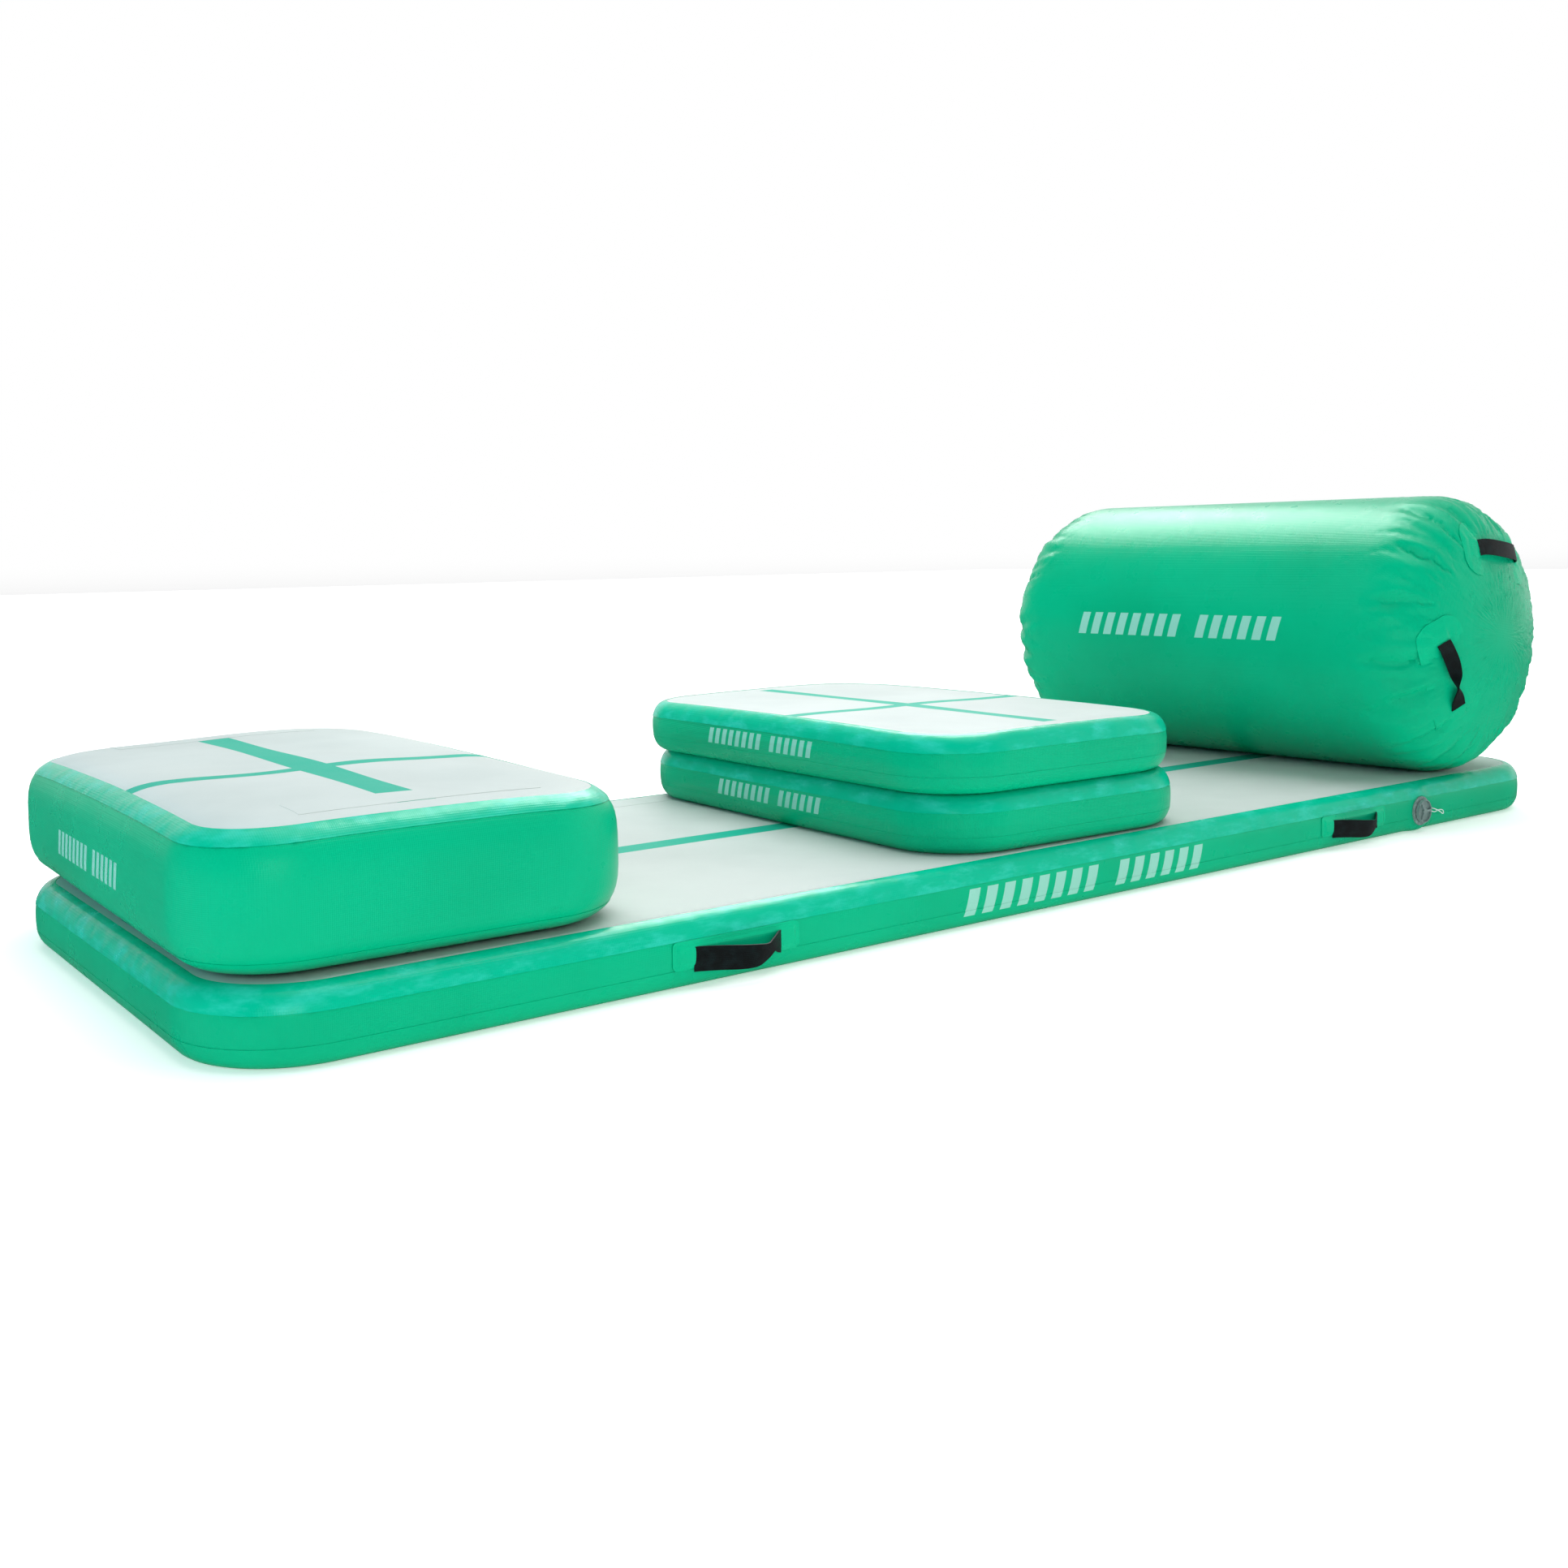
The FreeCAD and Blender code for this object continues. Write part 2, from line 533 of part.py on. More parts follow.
def make_roll(place, valve_place):
    """Barrel skin, domed ends, seam tapes, patches, straps and valve of the roll."""
    outer = barrel_form("RollOuter", "0")
    inner = barrel_form("RollInner", "band_sheet")
    taped = barrel_form("RollTaped", "band_sheet + tape_sheet")
    padded = barrel_form("RollPadded", "-tape_sheet")
    shell = cut("RollShell", outer, [inner])
    keep(common("RollSkin", shell, slice_of("RollMiddle", "-roll_seam", "roll_seam")),
         "roll_skin", place)
    keep(common("RollNearEnd", shell, slice_of("RollNearSlice", "-%g" % FAR_SIDE, "-roll_seam")),
         "roll_near_end", place)
    far_panel = common("RollFarPanel", shell, slice_of("RollFarSlice", "roll_seam", "%g" % FAR_SIDE))
    keep(cut("RollFarEnd", far_panel, [valve_hole("RollValveHole", valve_place)]),
         "roll_far_end", place)

    lining = cut("RollLining", inner, [taped])
    rings = [common("RollRing" + end, lining,
                    slice_of("RollRingSlice" + end, middle + " - roll_seam_tape / 2",
                             middle + " + roll_seam_tape / 2"))
             for end, middle in (("Near", "-roll_seam"), ("Far", "roll_seam"))]
    keep(group("RollSeamTapes", rings), "roll_seam_tapes", place)

    cover = cut("RollCover", padded, [outer])
    patches, tabs = [], []
    for end in ("near", "far"):
        for level in ("high", "low"):
            word = end + "_" + level
            spot = roll_strap_place(size(level + "_strap_angle"), end == "far")
            stamp = plate("RollStamp_" + word, "roll_patch_length", "roll_patch_width", "160",
                          "roll_patch_corner", lift="-80")
            stamp.Placement = spot.multiply(Placement(Vector(0, 0, 0), Rotation(X_AXIS, 90)))
            patches.append(common("RollPatch_" + word, cover, stamp))
            tabs += strap_tabs("RollTab_" + word, spot, padded)
            make_strap("RollStrap_" + word, "roll_%s_strap" % word, place.multiply(spot))
    keep(group("RollPatches", patches), "roll_handle_patches", place)
    keep(group("RollTabs", tabs), "roll_strap_tabs", place)
    make_valve("roll", place.multiply(valve_place))


# ---------------------------------------------------------------- the cap's tether
def tube_along(points, radius):
    """A round tube of straight runs joined by arcs as large as the runs allow."""
    reach = 0.45
    edges, here = [], points[0]
    tightest = float("inf")
    for before, corner, after in zip(points, points[1:], points[2:]):
        way_in, way_out = (corner - before), (after - corner)
        half_turn = way_in.getAngle(way_out) / 2
        step = reach * min(way_in.Length, way_out.Length)
        tightest = min(tightest, step / math.tan(half_turn))
        start = corner - Vector(way_in).normalize() * step
        end = corner + Vector(way_out).normalize() * step
        chord_middle = (start + end) / 2
        bulge = step * (1 / math.cos(half_turn) - 1) / math.tan(half_turn)
        middle = corner + (chord_middle - corner).normalize() * bulge
        edges.append(Part.LineSegment(here, start).toShape())
        edges.append(Part.Arc(start, middle, end).toShape())
        here = end
    edges.append(Part.LineSegment(here, points[-1]).toShape())
    path = Part.Wire(edges)
    round_end = Part.Wire(Part.Circle(points[0], points[1] - points[0], radius).toShape())
    tube = path.makePipeShell([round_end], True, True)
    print("tether: length %.1f, tightest radius %.1f, volume ratio %.3f" % (
        path.Length, tightest, tube.Volume / (math.pi * radius ** 2 * path.Length)))
    return tube


def make_tether(valve_place):
    """A thin cord in one twisted loop, from the housing's lug to the cap ring's lug."""
    start = Vector(size("lug_reach"), size("lug_width") / 2, size("flange_sheet") / 2)
    ring_middle = size("flange_sheet") + size("fit_gap") + size("ring_sheet") / 2
    finish = Vector(size("lug_reach") + 2 * size("fit_gap"),
                    -size("lug_gap") - size("lug_width") / 2, ring_middle)
    route = [start, Vector(41, 1.5, 3.5), Vector(51, -2, 6), Vector(61, -6.5, 7.5),
             Vector(70, -11.5, 7), Vector(77, -14.5, 6), Vector(81.5, -12, 5),
             Vector(79, -7, 5), Vector(71, -4.5, 5.5), Vector(61, -4.5, 4.5),
             Vector(51, -7.5, 3.5), Vector(42, -6.5, 4), finish]
    tether = doc.addObject("Part::Feature", "Tether")
    tether.Shape = tube_along(route, size("tether_radius"))
    keep(tether, "mat_valve_tether", valve_place)


# ---------------------------------------------------------------- the set, piece by piece
def stand(x, y, z, turn):
    """A place on the set: a spot, and a small turn about the vertical."""
    return Placement(Vector(x, y, z), Rotation(Z_AXIS, turn))


on_mat = size("mat_height") + size("strip_sheet") + size("rest_gap")
mat_place = Placement()
mat_valve_place = Placement(Vector(size("valve_x"), -size("mat_width") / 2, size("valve_height")),
                            Rotation(X_AXIS, 90))
mat_envelope, mat_under_tape, mat_cavity = make_chamber("mat", "mat", mat_place, mat_valve_place)
make_seam_strips("mat", "mat", mat_place)
seal_top, disc_top = make_valve("mat", mat_valve_place, ring=True)
make_valve_inside("mat", mat_valve_place, mat_cavity, mat_envelope, seal_top, disc_top)
make_tether(mat_valve_place)

mat_cover = cut("MatCover", mat_envelope, [mat_under_tape])
mat_patches, mat_tabs = [], []
for side, turn, edge in (("front", 0, -1), ("back", 180, 1)):
    for end in ("left", "right"):
        word = side + "_" + end
        middle = size(end + "_strap_x")
        spot = Placement(Vector(middle, edge * size("mat_width") / 2, size("strap_height")),
                         Rotation(Z_AXIS, turn))
        reach = size("mat_patch_length") / 2
        stamp = block_of("MatStamp_" + word,
                         ("%g" % (middle - reach), "%g" % min(0, edge * FAR_SIDE), "tape_reach"),
                         ("%g" % (middle + reach), "%g" % max(0, edge * FAR_SIDE),
                          "mat_height - tape_reach"))
        mat_patches.append(common("MatPatch_" + word, mat_cover, stamp))
        mat_tabs += strap_tabs("MatTab_" + word, spot, mat_envelope)
        make_strap("MatStrap_" + word, "mat_%s_strap" % word, spot)
keep(group("MatPatches", mat_patches), "mat_handle_patches")
keep(group("MatTabs", mat_tabs), "mat_strap_tabs")

block_place = stand(size("block_x"), size("block_y"), on_mat, size("block_turn"))
block_valve_place = Placement(Vector(size("block_length") / 2, 0, size("block_height") / 2),
                              Rotation(Y_AXIS, 90))
make_chamber("block", "block", block_place, block_valve_place)
make_seam_strips("block", "block", block_place)
make_valve("block", block_place.multiply(block_valve_place))

board_valve_place = Placement(Vector(size("board_length") / 2, 0, size("board_height") / 2),
                              Rotation(Y_AXIS, 90))
for board, floor in (("lower", on_mat),
                     ("upper", on_mat + size("board_height") + size("rest_gap"))):
    board_place = stand(size(board + "_x"), size(board + "_y"), floor, size(board + "_turn"))
    make_chamber("board", board + "_board", board_place, board_valve_place)
    make_valve(board + "_board", board_place.multiply(board_valve_place))

roll_place = stand(size("roll_x"), size("roll_y"), on_mat + size("roll_radius"), size("roll_turn"))
make_roll(roll_place, Placement(Vector(0, size("roll_half_length") + size("fit_gap"), 0),
                                Rotation(X_AXIS, -90)))

# ---------------------------------------------------------------- check and write
doc.recompute()
for item in doc.Objects:
    if "Invalid" in item.State or "Error" in item.State:
        raise RuntimeError("%s did not compute: %s" % (item.Name, item.State))
os.makedirs("parts", exist_ok=True)
for piece in pieces:
    shape = piece.Shape
    if shape.isNull() or not shape.isValid() or not shape.Solids:
        raise RuntimeError("%s has no sound solid" % piece.Label)
    shape.exportStep("parts/%s.step" % piece.Label)
    box = shape.BoundBox
    print("%-28s %3d solids  %9.1f cm3  x %7.1f %7.1f  y %7.1f %7.1f  z %6.1f %6.1f" % (
        piece.Label, len(shape.Solids), shape.Volume / 1000,
        box.XMin, box.XMax, box.YMin, box.YMax, box.ZMin, box.ZMax))
print(len(pieces), "sub-parts")
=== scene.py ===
# %% [markdown]
# # An inflatable air track set
# A gymnastics set of five air chambers: a long floor mat, a fat air block, two thin
# air boards and an air roll.  All of them are coated fabric blown up hard, so the
# whole job is thin sheets, taped seams, small puckers and gloss.  The hard model
# gives every place and size, and the sheets are built around it here.

# %% load the frame
import json
import math

import bmesh
import bpy
import numpy as np
from mathutils import Matrix, Vector
from mathutils.bvhtree import BVHTree


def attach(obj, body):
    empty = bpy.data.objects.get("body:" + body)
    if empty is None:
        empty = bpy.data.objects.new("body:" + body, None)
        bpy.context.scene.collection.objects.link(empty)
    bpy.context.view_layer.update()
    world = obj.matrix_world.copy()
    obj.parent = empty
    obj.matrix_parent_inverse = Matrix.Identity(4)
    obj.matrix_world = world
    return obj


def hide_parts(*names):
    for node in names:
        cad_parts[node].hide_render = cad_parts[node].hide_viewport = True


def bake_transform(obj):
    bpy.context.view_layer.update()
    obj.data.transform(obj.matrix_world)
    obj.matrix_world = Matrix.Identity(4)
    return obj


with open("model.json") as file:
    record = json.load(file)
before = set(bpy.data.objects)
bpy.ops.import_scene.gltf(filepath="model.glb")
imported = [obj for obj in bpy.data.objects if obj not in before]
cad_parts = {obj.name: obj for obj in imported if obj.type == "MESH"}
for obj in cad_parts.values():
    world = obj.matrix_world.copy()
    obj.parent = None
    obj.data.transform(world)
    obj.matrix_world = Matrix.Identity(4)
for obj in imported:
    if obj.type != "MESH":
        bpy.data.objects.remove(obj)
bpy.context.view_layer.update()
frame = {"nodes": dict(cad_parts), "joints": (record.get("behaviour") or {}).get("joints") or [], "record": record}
MM = 0.001

# %% [markdown]
# ## The camera
# A product shot from low down beside the block, looking along the mat.  The lens is
# a plain one on a 36 mm sensor, and a small vertical shift keeps upright edges upright.

# %% camera
CAMERA_SPOT = Vector((-2.043, -2.292, 0.605))
HEADING, PITCH, ROLL = (math.radians(angle) for angle in (52.684, -2.865, -0.864))
LENS, SENSOR, SHIFT_DOWN = 36.11, 36.0, -0.0982


def aim_camera():
    ahead = Vector((math.cos(PITCH) * math.cos(HEADING), math.cos(PITCH) * math.sin(HEADING),
                    math.sin(PITCH)))
    right = Vector((math.sin(HEADING), -math.cos(HEADING), 0))
    up = right.cross(ahead)
    leaned_right = math.cos(ROLL) * right + math.sin(ROLL) * up
    leaned_up = math.cos(ROLL) * up - math.sin(ROLL) * right
    lens = bpy.data.cameras.new("product_shot")
    lens.lens, lens.sensor_width, lens.shift_y = LENS, SENSOR, SHIFT_DOWN
    holder = bpy.data.objects.new("product_shot", lens)
    turned = Matrix((leaned_right, leaned_up, -ahead)).transposed().to_4x4()
    holder.matrix_world = Matrix.Translation(CAMERA_SPOT) @ turned
    bpy.context.collection.objects.link(holder)
    bpy.context.scene.camera = holder
    print("camera looks", [round(part, 3) for part in ahead])


aim_camera()

# %% [markdown]
# ## The cord that keeps the valve cap
# A thin white cord leaves the valve's lug, makes one twisted loop against the wall and
# comes back to the ring under the cap.  A NURBS curve through a few listed
# points bends the way a limp cord does, where a chain of arcs would look like wire.
# The thickness is set on its points, with a bevel of 1: the curve's box then fits it.

# %% valve cord


def joint(name):
    return next(each for each in frame["joints"] if each["name"] == name)


def new_piece(name, data):
    piece = bpy.data.objects.new(name, data)
    bpy.context.collection.objects.link(piece)
    return piece


PORT = Vector(joint("mat_cap_turn")["pos_m"])
WALL_Y = joint("mat_front_left_handle_swing")["pos_m"][1]
TETHER_RADIUS, TETHER_LENGTH = 0.9 * MM, 0.1
TETHER_ROUTE = [(33, 2.5, 1.5), (41, 1.5, 3.5), (51, -2, 6), (61, -6.5, 7.5), (70, -11.5, 7),
                (77, -14.5, 6), (81.5, -12, 5), (79, -7, 5), (71, -4.5, 5.5), (61, -4.5, 4.5),
                (51, -7.5, 3.5), (42, -6.5, 4), (33.8, -3.5, 4.15)]


def at_valve(along, up, out):
    """A spot by the mat's valve, in millimetres along, up and out of the wall."""
    return Vector((PORT.x + along * MM, WALL_Y - out * MM, PORT.z + up * MM))


def make_tether():
    curve = bpy.data.curves.new("valve_tether_cord", "CURVE")
    curve.dimensions = "3D"
    spline = curve.splines.new("NURBS")
    spline.points.add(len(TETHER_ROUTE) - 1)
    for point, spot in zip(spline.points, TETHER_ROUTE):
        point.co, point.radius = (*at_valve(*spot), 1), TETHER_RADIUS
    spline.order_u, spline.use_endpoint_u, spline.resolution_u = 3, True, 12
    curve.bevel_depth, curve.bevel_resolution, curve.use_fill_caps = 1.0, 4, True
    cord = new_piece("valve_tether_cord", curve)
    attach(cord, "mat")
    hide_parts("mat_valve_tether")
    tuple(at_valve(*TETHER_ROUTE[0]))
    return cord


tether = make_tether()

# %% [markdown]
# ## Shader maths as plain arithmetic
# A material is a graph of nodes.  Wiring each Math node by hand hides the idea, so a
# small class wraps one socket and lets `1 - mask` or `a * b + c` add the nodes.

# %% sockets that do arithmetic


class Wire:
    """One value in a node graph; arithmetic on it adds Math nodes."""

    def __init__(self, graph, socket):
        self.graph, self.socket = graph, socket

    def math(self, operation, *values):
        return self.graph.add("ShaderNodeMath", {"operation": operation}, dict(enumerate(values)))

    def either(self, other):
        return self.math("MAXIMUM", self, other)

    def __add__(self, other):
        return self.math("ADD", self, other)

    def __sub__(self, other):
        return self.math("SUBTRACT", self, other)

    def __rsub__(self, other):
        return self.math("SUBTRACT", other, self)

    def __mul__(self, other):
        return self.math("MULTIPLY", self, other)

    def __truediv__(self, other):
        return self.math("DIVIDE", self, other)

    def __neg__(self):
        return self.math("MULTIPLY", self, -1)

    def __lt__(self, other):
        return self.math("LESS_THAN", self, other)

    def __gt__(self, other):
        return self.math("GREATER_THAN", self, other)

    def __abs__(self):
        return self.math("ABSOLUTE", self)

    __radd__, __rmul__ = __add__, __mul__

    def sin(self):
        return self.math("SINE", self)

    def fraction(self):
        return self.math("FRACT", self)

    def soft_step(self, low, high):
        """0 below low, 1 above high, and a smooth ramp between them."""
        return self.graph.add("ShaderNodeMapRange", {"interpolation_type": "SMOOTHSTEP"},
                              {"Value": self, "From Min": low, "From Max": high})

    def parts(self):
        """The three numbers of a vector."""
        split = self.graph.add("ShaderNodeSeparateXYZ", {}, {0: self}).socket.node
        return [Wire(self.graph, out) for out in split.outputs]


# %% a graph that takes nodes, and a material made of one


class Graph:
    """A node tree that nodes are added to."""

    def __init__(self, tree):
        self.tree = tree

    def plug(self, node, key, value):
        if isinstance(value, Wire):
            self.tree.links.new(value.socket, node.inputs[key])
        else:
            node.inputs[key].default_value = value

    def add(self, kind, settings, values, out=0):
        """Any node: its settings first, then the values or links of its sockets."""
        node = self.tree.nodes.new(kind)
        for key, value in settings.items():
            setattr(node, key, value)
        for key, value in values.items():
            self.plug(node, key, value)
        return Wire(self, node.outputs[out])

    def mix(self, share, first, second):
        return self.add("ShaderNodeMix", {"data_type": "RGBA"}, {0: share, 6: first, 7: second},
                        out=2)

    def noise(self, where, scale, detail=2.0, rough=0.5):
        return self.add("ShaderNodeTexNoise", {},
                        {"Vector": where, "Scale": scale, "Detail": detail, "Roughness": rough})

    def stretch(self, where, factors):
        return self.add("ShaderNodeVectorMath", {"operation": "MULTIPLY"}, {0: where, 1: factors})

    def bump(self, height, depth):
        return self.add("ShaderNodeBump", {}, {"Height": height, "Distance": depth})


class Paint(Graph):
    """A material under construction, ending in one Principled shader."""

    def __init__(self, name):
        self.material = bpy.data.materials.new(name)
        self.material.use_nodes = True
        super().__init__(self.material.node_tree)
        self.tree.nodes.clear()
        self.shader = self.tree.nodes.new("ShaderNodeBsdfPrincipled")
        output = self.tree.nodes.new("ShaderNodeOutputMaterial")
        self.tree.links.new(self.shader.outputs[0], output.inputs[0])

    def chart(self):
        """The sheet's own coordinates, stored on the mesh, in metres."""
        return self.add("ShaderNodeAttribute", {"attribute_name": "chart"}, {}, out=1)

    def place(self):
        """Where a carried-over solid's surface lies, in metres."""
        return self.add("ShaderNodeTexCoord", {}, {}, out=3)

    def finish(self, **sockets):
        for key, value in sockets.items():
            self.plug(self.shader, key.replace("_", " "), value)
        return self.material


def ink(red, green, blue):
    """A colour from its 0-255 screen values."""
    def linear(level):
        share = level / 255
        return share / 12.92 if share <= 0.04045 else ((share + 0.055) / 1.055) ** 2.4
    return (linear(red), linear(green), linear(blue), 1.0)


# %% [markdown]
# ## Printed marks
# The makers print a line of lettering on each chamber.  A plain row of slanted bars
# stands in for it here: ink has no thickness, so it is drawn by the material from
# the sheet's own coordinates.

# %% a row of slanted bars
BAR_SLANT, BAR_COUNT, BAR_GAP, BAR_SHARE = 0.28, 14, 8, 0.6
MINT = ink(150, 214, 196)


def bars(along, up, start, length, low, high):
    """1 on the ink, 0 elsewhere; along runs to the reader's right."""
    pitch = length / (BAR_COUNT + 1)
    leaned = along - (up - low) * BAR_SLANT - start
    step = leaned / pitch
    inside = (leaned > 0) * (leaned < length) * (up > low) * (up < high)
    gap = (step > BAR_GAP) * (step < BAR_GAP + 1)
    return inside * (step.fraction() < BAR_SHARE) * (1 - gap)


def front_mark(where):
    x, y, z = where.parts()
    return bars(x, z, -0.325, 0.60, 0.021, 0.064) * (y < 0)


def left_mark(start, length, low, high):
    """Bars on the wall that faces -X, reading towards -Y."""
    def mark(where):
        x, y, z = where.parts()
        return bars(-y, z, start, length, low, high) * (x < 0)
    return mark


# %% [markdown]
# ## Coated green fabric
# PVC-coated fabric is glossy and a little uneven: the coating pools in cloudy patches,
# and the woven scrim under it prints through as a very fine texture.  The cloudiness
# goes into the colour and the roughness, the scrim and the slow swells of the taut
# wall into a shallow bump.  The gloss is tinted, as it is on a deeply coloured vinyl.

# %% green coated fabric
GREEN, DEEP_GREEN = ink(0, 183, 133), ink(0, 174, 125)
GLOSS_TINT, SHINE = (0.7, 1.0, 0.97, 1.0), 0.13
SCRIM_PITCH = 2400


def scrim(paint, where, swell, depth):
    """The fine woven grid that shows through the coating, on the wall's slow swells."""
    x, y, z = paint.stretch(where, (SCRIM_PITCH,) * 3).parts()
    grid = (x.sin() + y.sin() + z.sin()) * 0.012
    return paint.bump(grid + paint.noise(paint.stretch(where, swell), 1.0, detail=1.0), depth)


def green_fabric(name, mark=None, base=GREEN, shade=DEEP_GREEN, swell=(3, 3, 12), depth=3 * MM):
    paint = Paint(name)
    where = paint.chart()
    patchy = paint.noise(where, 3.0, detail=4.0).soft_step(0.35, 0.7)
    colour = paint.mix(patchy, base, shade)
    if mark:
        colour = paint.mix(mark(where), colour, MINT)
    gloss = paint.noise(where, 18.0, detail=3.0)
    return paint.finish(Base_Color=colour, Roughness=gloss * 0.14 + 0.22,
                        Normal=scrim(paint, where, swell, depth), Specular_IOR_Level=SHINE,
                        Specular_Tint=GLOSS_TINT)


band_paint = {
    "mat": green_fabric("mat_band_green", front_mark, swell=(1, 1, 6), depth=2 * MM),
    "block": green_fabric("block_band_green", left_mark(-0.185, 0.35, 0.068, 0.106)),
    "lower_board": green_fabric("lower_board_green", left_mark(-0.175, 0.335, 0.036, 0.066),
                                swell=(2, 2, 40), depth=6 * MM),
    "upper_board": green_fabric("upper_board_green", left_mark(-0.185, 0.335, 0.036, 0.066),
                                swell=(2, 2, 40), depth=6 * MM),
}
underside_paint = green_fabric("underside_green")
roll_paint = green_fabric("roll_green", left_mark(-0.305, 0.565, -0.008, 0.044), swell=(4, 2, 4))
patch_paint = green_fabric("patch_green", base=ink(0, 190, 138), shade=ink(0, 182, 132))
print("green fabrics:", sorted(band_paint))

# %% [markdown]
# ## Seam tape
# Narrow tapes are glued over the seams by hand.  Their green is painted lighter than the
# wall's: painted light for the shoulder they wrap, which faces up.  Cloudy, paler cyan
# patches drawn out lengthwise on them are painted highlight, scattered at random.

# %% seam tape
# The first colour is the tape's green painted lighter than the wall, as painted light; the second, paler cyan is a
# painted highlight.
TAPE_GREEN_PAINTED_LIT, TAPE_PAINTED_SHEEN = ink(0, 186, 146), ink(52, 206, 184)


def tape_fabric():
    paint = Paint("seam_tape_green")
    where = paint.chart()
    drawn = paint.noise(paint.stretch(where, (1.0, 1.0, 3.0)), 16.0, detail=5.0, rough=0.62)
    # Painted highlight: random cloudy patches of paler cyan, drawn out lengthwise.
    painted_sheen = drawn.soft_step(0.44, 0.70)
    colour = paint.mix(painted_sheen * 0.6, TAPE_GREEN_PAINTED_LIT, TAPE_PAINTED_SHEEN)
    return paint.finish(Base_Color=colour, Roughness=drawn * 0.2 + 0.14,
                        Normal=scrim(paint, where, (30, 30, 30), 2 * MM),
                        Specular_IOR_Level=1.4 * SHINE, Specular_Tint=GLOSS_TINT)


tape_paint = tape_fabric()

# %% [markdown]
# ## The grey landing surface
# The top panels are a satin, finely knitted grey with painted guide lines.  The lines
# are plain comparisons on the sheet's coordinates, so they stay sharp at any distance.

# %% grey panel with its guide lines
PANEL_GREY, PANEL_SHADE, STRIPE = ink(204, 213, 210), ink(194, 204, 201), ink(36, 176, 150)


def grey_panel(name, lines):
    """Each line: axis across it (0 or 1), its place, half its width, and its two ends."""
    paint = Paint(name)
    where = paint.chart()
    spots = where.parts()
    patchy = paint.noise(where, 4.0, detail=4.0).soft_step(0.3, 0.75)
    colour = paint.mix(patchy, PANEL_GREY, PANEL_SHADE)
    for axis, place, half_width, start, end in lines:
        across, along = spots[axis], spots[1 - axis]
        painted = (abs(across - place) < half_width) * (along > start) * (along < end)
        colour = paint.mix(painted, colour, STRIPE)
    knit = paint.noise(where, 1300.0, detail=1.0)
    slow = paint.noise(where, 12.0, detail=2.0)
    return paint.finish(Base_Color=colour, Roughness=knit * 0.14 + 0.40,
                        Normal=paint.bump(knit * 0.1 + slow, 1.5 * MM), Specular_IOR_Level=0.05)


BOARD_LINES = [(0, 0.0, 0.017, -0.425, 0.43), (1, -0.042, 0.017, -0.32, 0.30)]
panel_paint = {
    "mat": grey_panel("mat_grey", [(1, 0.0, 0.026, -1.46, 1.46)]),
    "block": grey_panel("block_grey", [(0, -0.012, 0.026, -0.465, 0.40),
                                       (1, -0.092, 0.018, -0.30, 0.30)]),
    "lower_board": grey_panel("lower_board_grey", BOARD_LINES),
    "upper_board": grey_panel("upper_board_grey", BOARD_LINES),
}
strip_paint = grey_panel("strip_grey", [])
print("grey panels:", sorted(panel_paint))

# %% [markdown]
# ## Webbing, plastic, steel and the other small finishes
# Each one is told apart by how it breaks the light: webbing by its ribbed weave,
# moulded plastic by a faint orange peel, spring steel by drawn streaks.

# %% small finishes


def webbing():
    paint = Paint("black_webbing")
    where = paint.chart()
    along, across, spare = where.parts()
    rib = (across * 3200).sin() * ((along * 2500 + (across * 1600).sin() * 2).sin() + 1.5)
    worn = paint.noise(where, 60.0, detail=4.0)
    colour = paint.mix(worn.soft_step(0.4, 0.7), ink(5, 16, 17), ink(10, 30, 31))
    return paint.finish(Base_Color=colour, Roughness=worn * 0.2 + 0.42,
                        Normal=paint.bump(rib, 0.12 * MM), Sheen_Weight=0.02, Specular_IOR_Level=0.25)


def plain_finish(name, base, shade, scale, rough, depth, squeeze=(1, 1, 1), **extra):
    """A two-tone finish with a matching grain; squeeze draws the grain out into streaks."""
    paint = Paint(name)
    where = paint.stretch(paint.place(), squeeze)
    grain = paint.noise(where, scale, detail=4.0)
    colour = paint.mix(grain.soft_step(0.35, 0.65), base, shade)
    return paint.finish(Base_Color=colour, Roughness=grain * 0.16 + rough,
                        Normal=paint.bump(grain, depth), **extra)


def cord_finish():
    paint = Paint("braided_cord")
    twist = paint.noise(paint.place(), 900.0, detail=2.0)
    colour = paint.mix(twist, ink(226, 240, 238), ink(250, 254, 253))
    return paint.finish(Base_Color=colour, Roughness=twist * 0.2 + 0.5,
                        Normal=paint.bump(twist, 0.2 * MM))


webbing_paint = webbing()
tether.data.materials.append(cord_finish())
MOULDED = (ink(112, 134, 131), 220, 0.32, 0.15 * MM)
node_paint = {
    "valve_body": plain_finish("valve_body_plastic", ink(150, 172, 168), *MOULDED),
    "valve_cap": plain_finish("valve_cap_plastic", ink(128, 150, 147), *MOULDED),
    "cap_ring": plain_finish("cap_ring_plastic", ink(158, 176, 172), *MOULDED),
    "valve_plunger": plain_finish("plunger_plastic", ink(96, 108, 106), *MOULDED),
    "silicone_seal": plain_finish("silicone_seal", ink(222, 226, 224), ink(206, 212, 210), 160,
                                  0.4, 0.1 * MM),
    "spring_steel": plain_finish("spring_steel", ink(188, 190, 192), ink(150, 153, 156), 300,
                                 0.2, 0.05 * MM, squeeze=(1, 1, 12), Metallic=1.0),
    "thread": plain_finish("drop_stitch_thread", ink(232, 234, 230), ink(206, 210, 205), 700,
                           0.6, 0.2 * MM, squeeze=(1, 1, 0.3)),
    "inner_tape": plain_finish("inner_tape_green", GREEN, DEEP_GREEN, 40, 0.4, 0.2 * MM),
    "welded_collar": plain_finish("welded_collar_green", GREEN, DEEP_GREEN, 60, 0.28, 0.2 * MM),
}


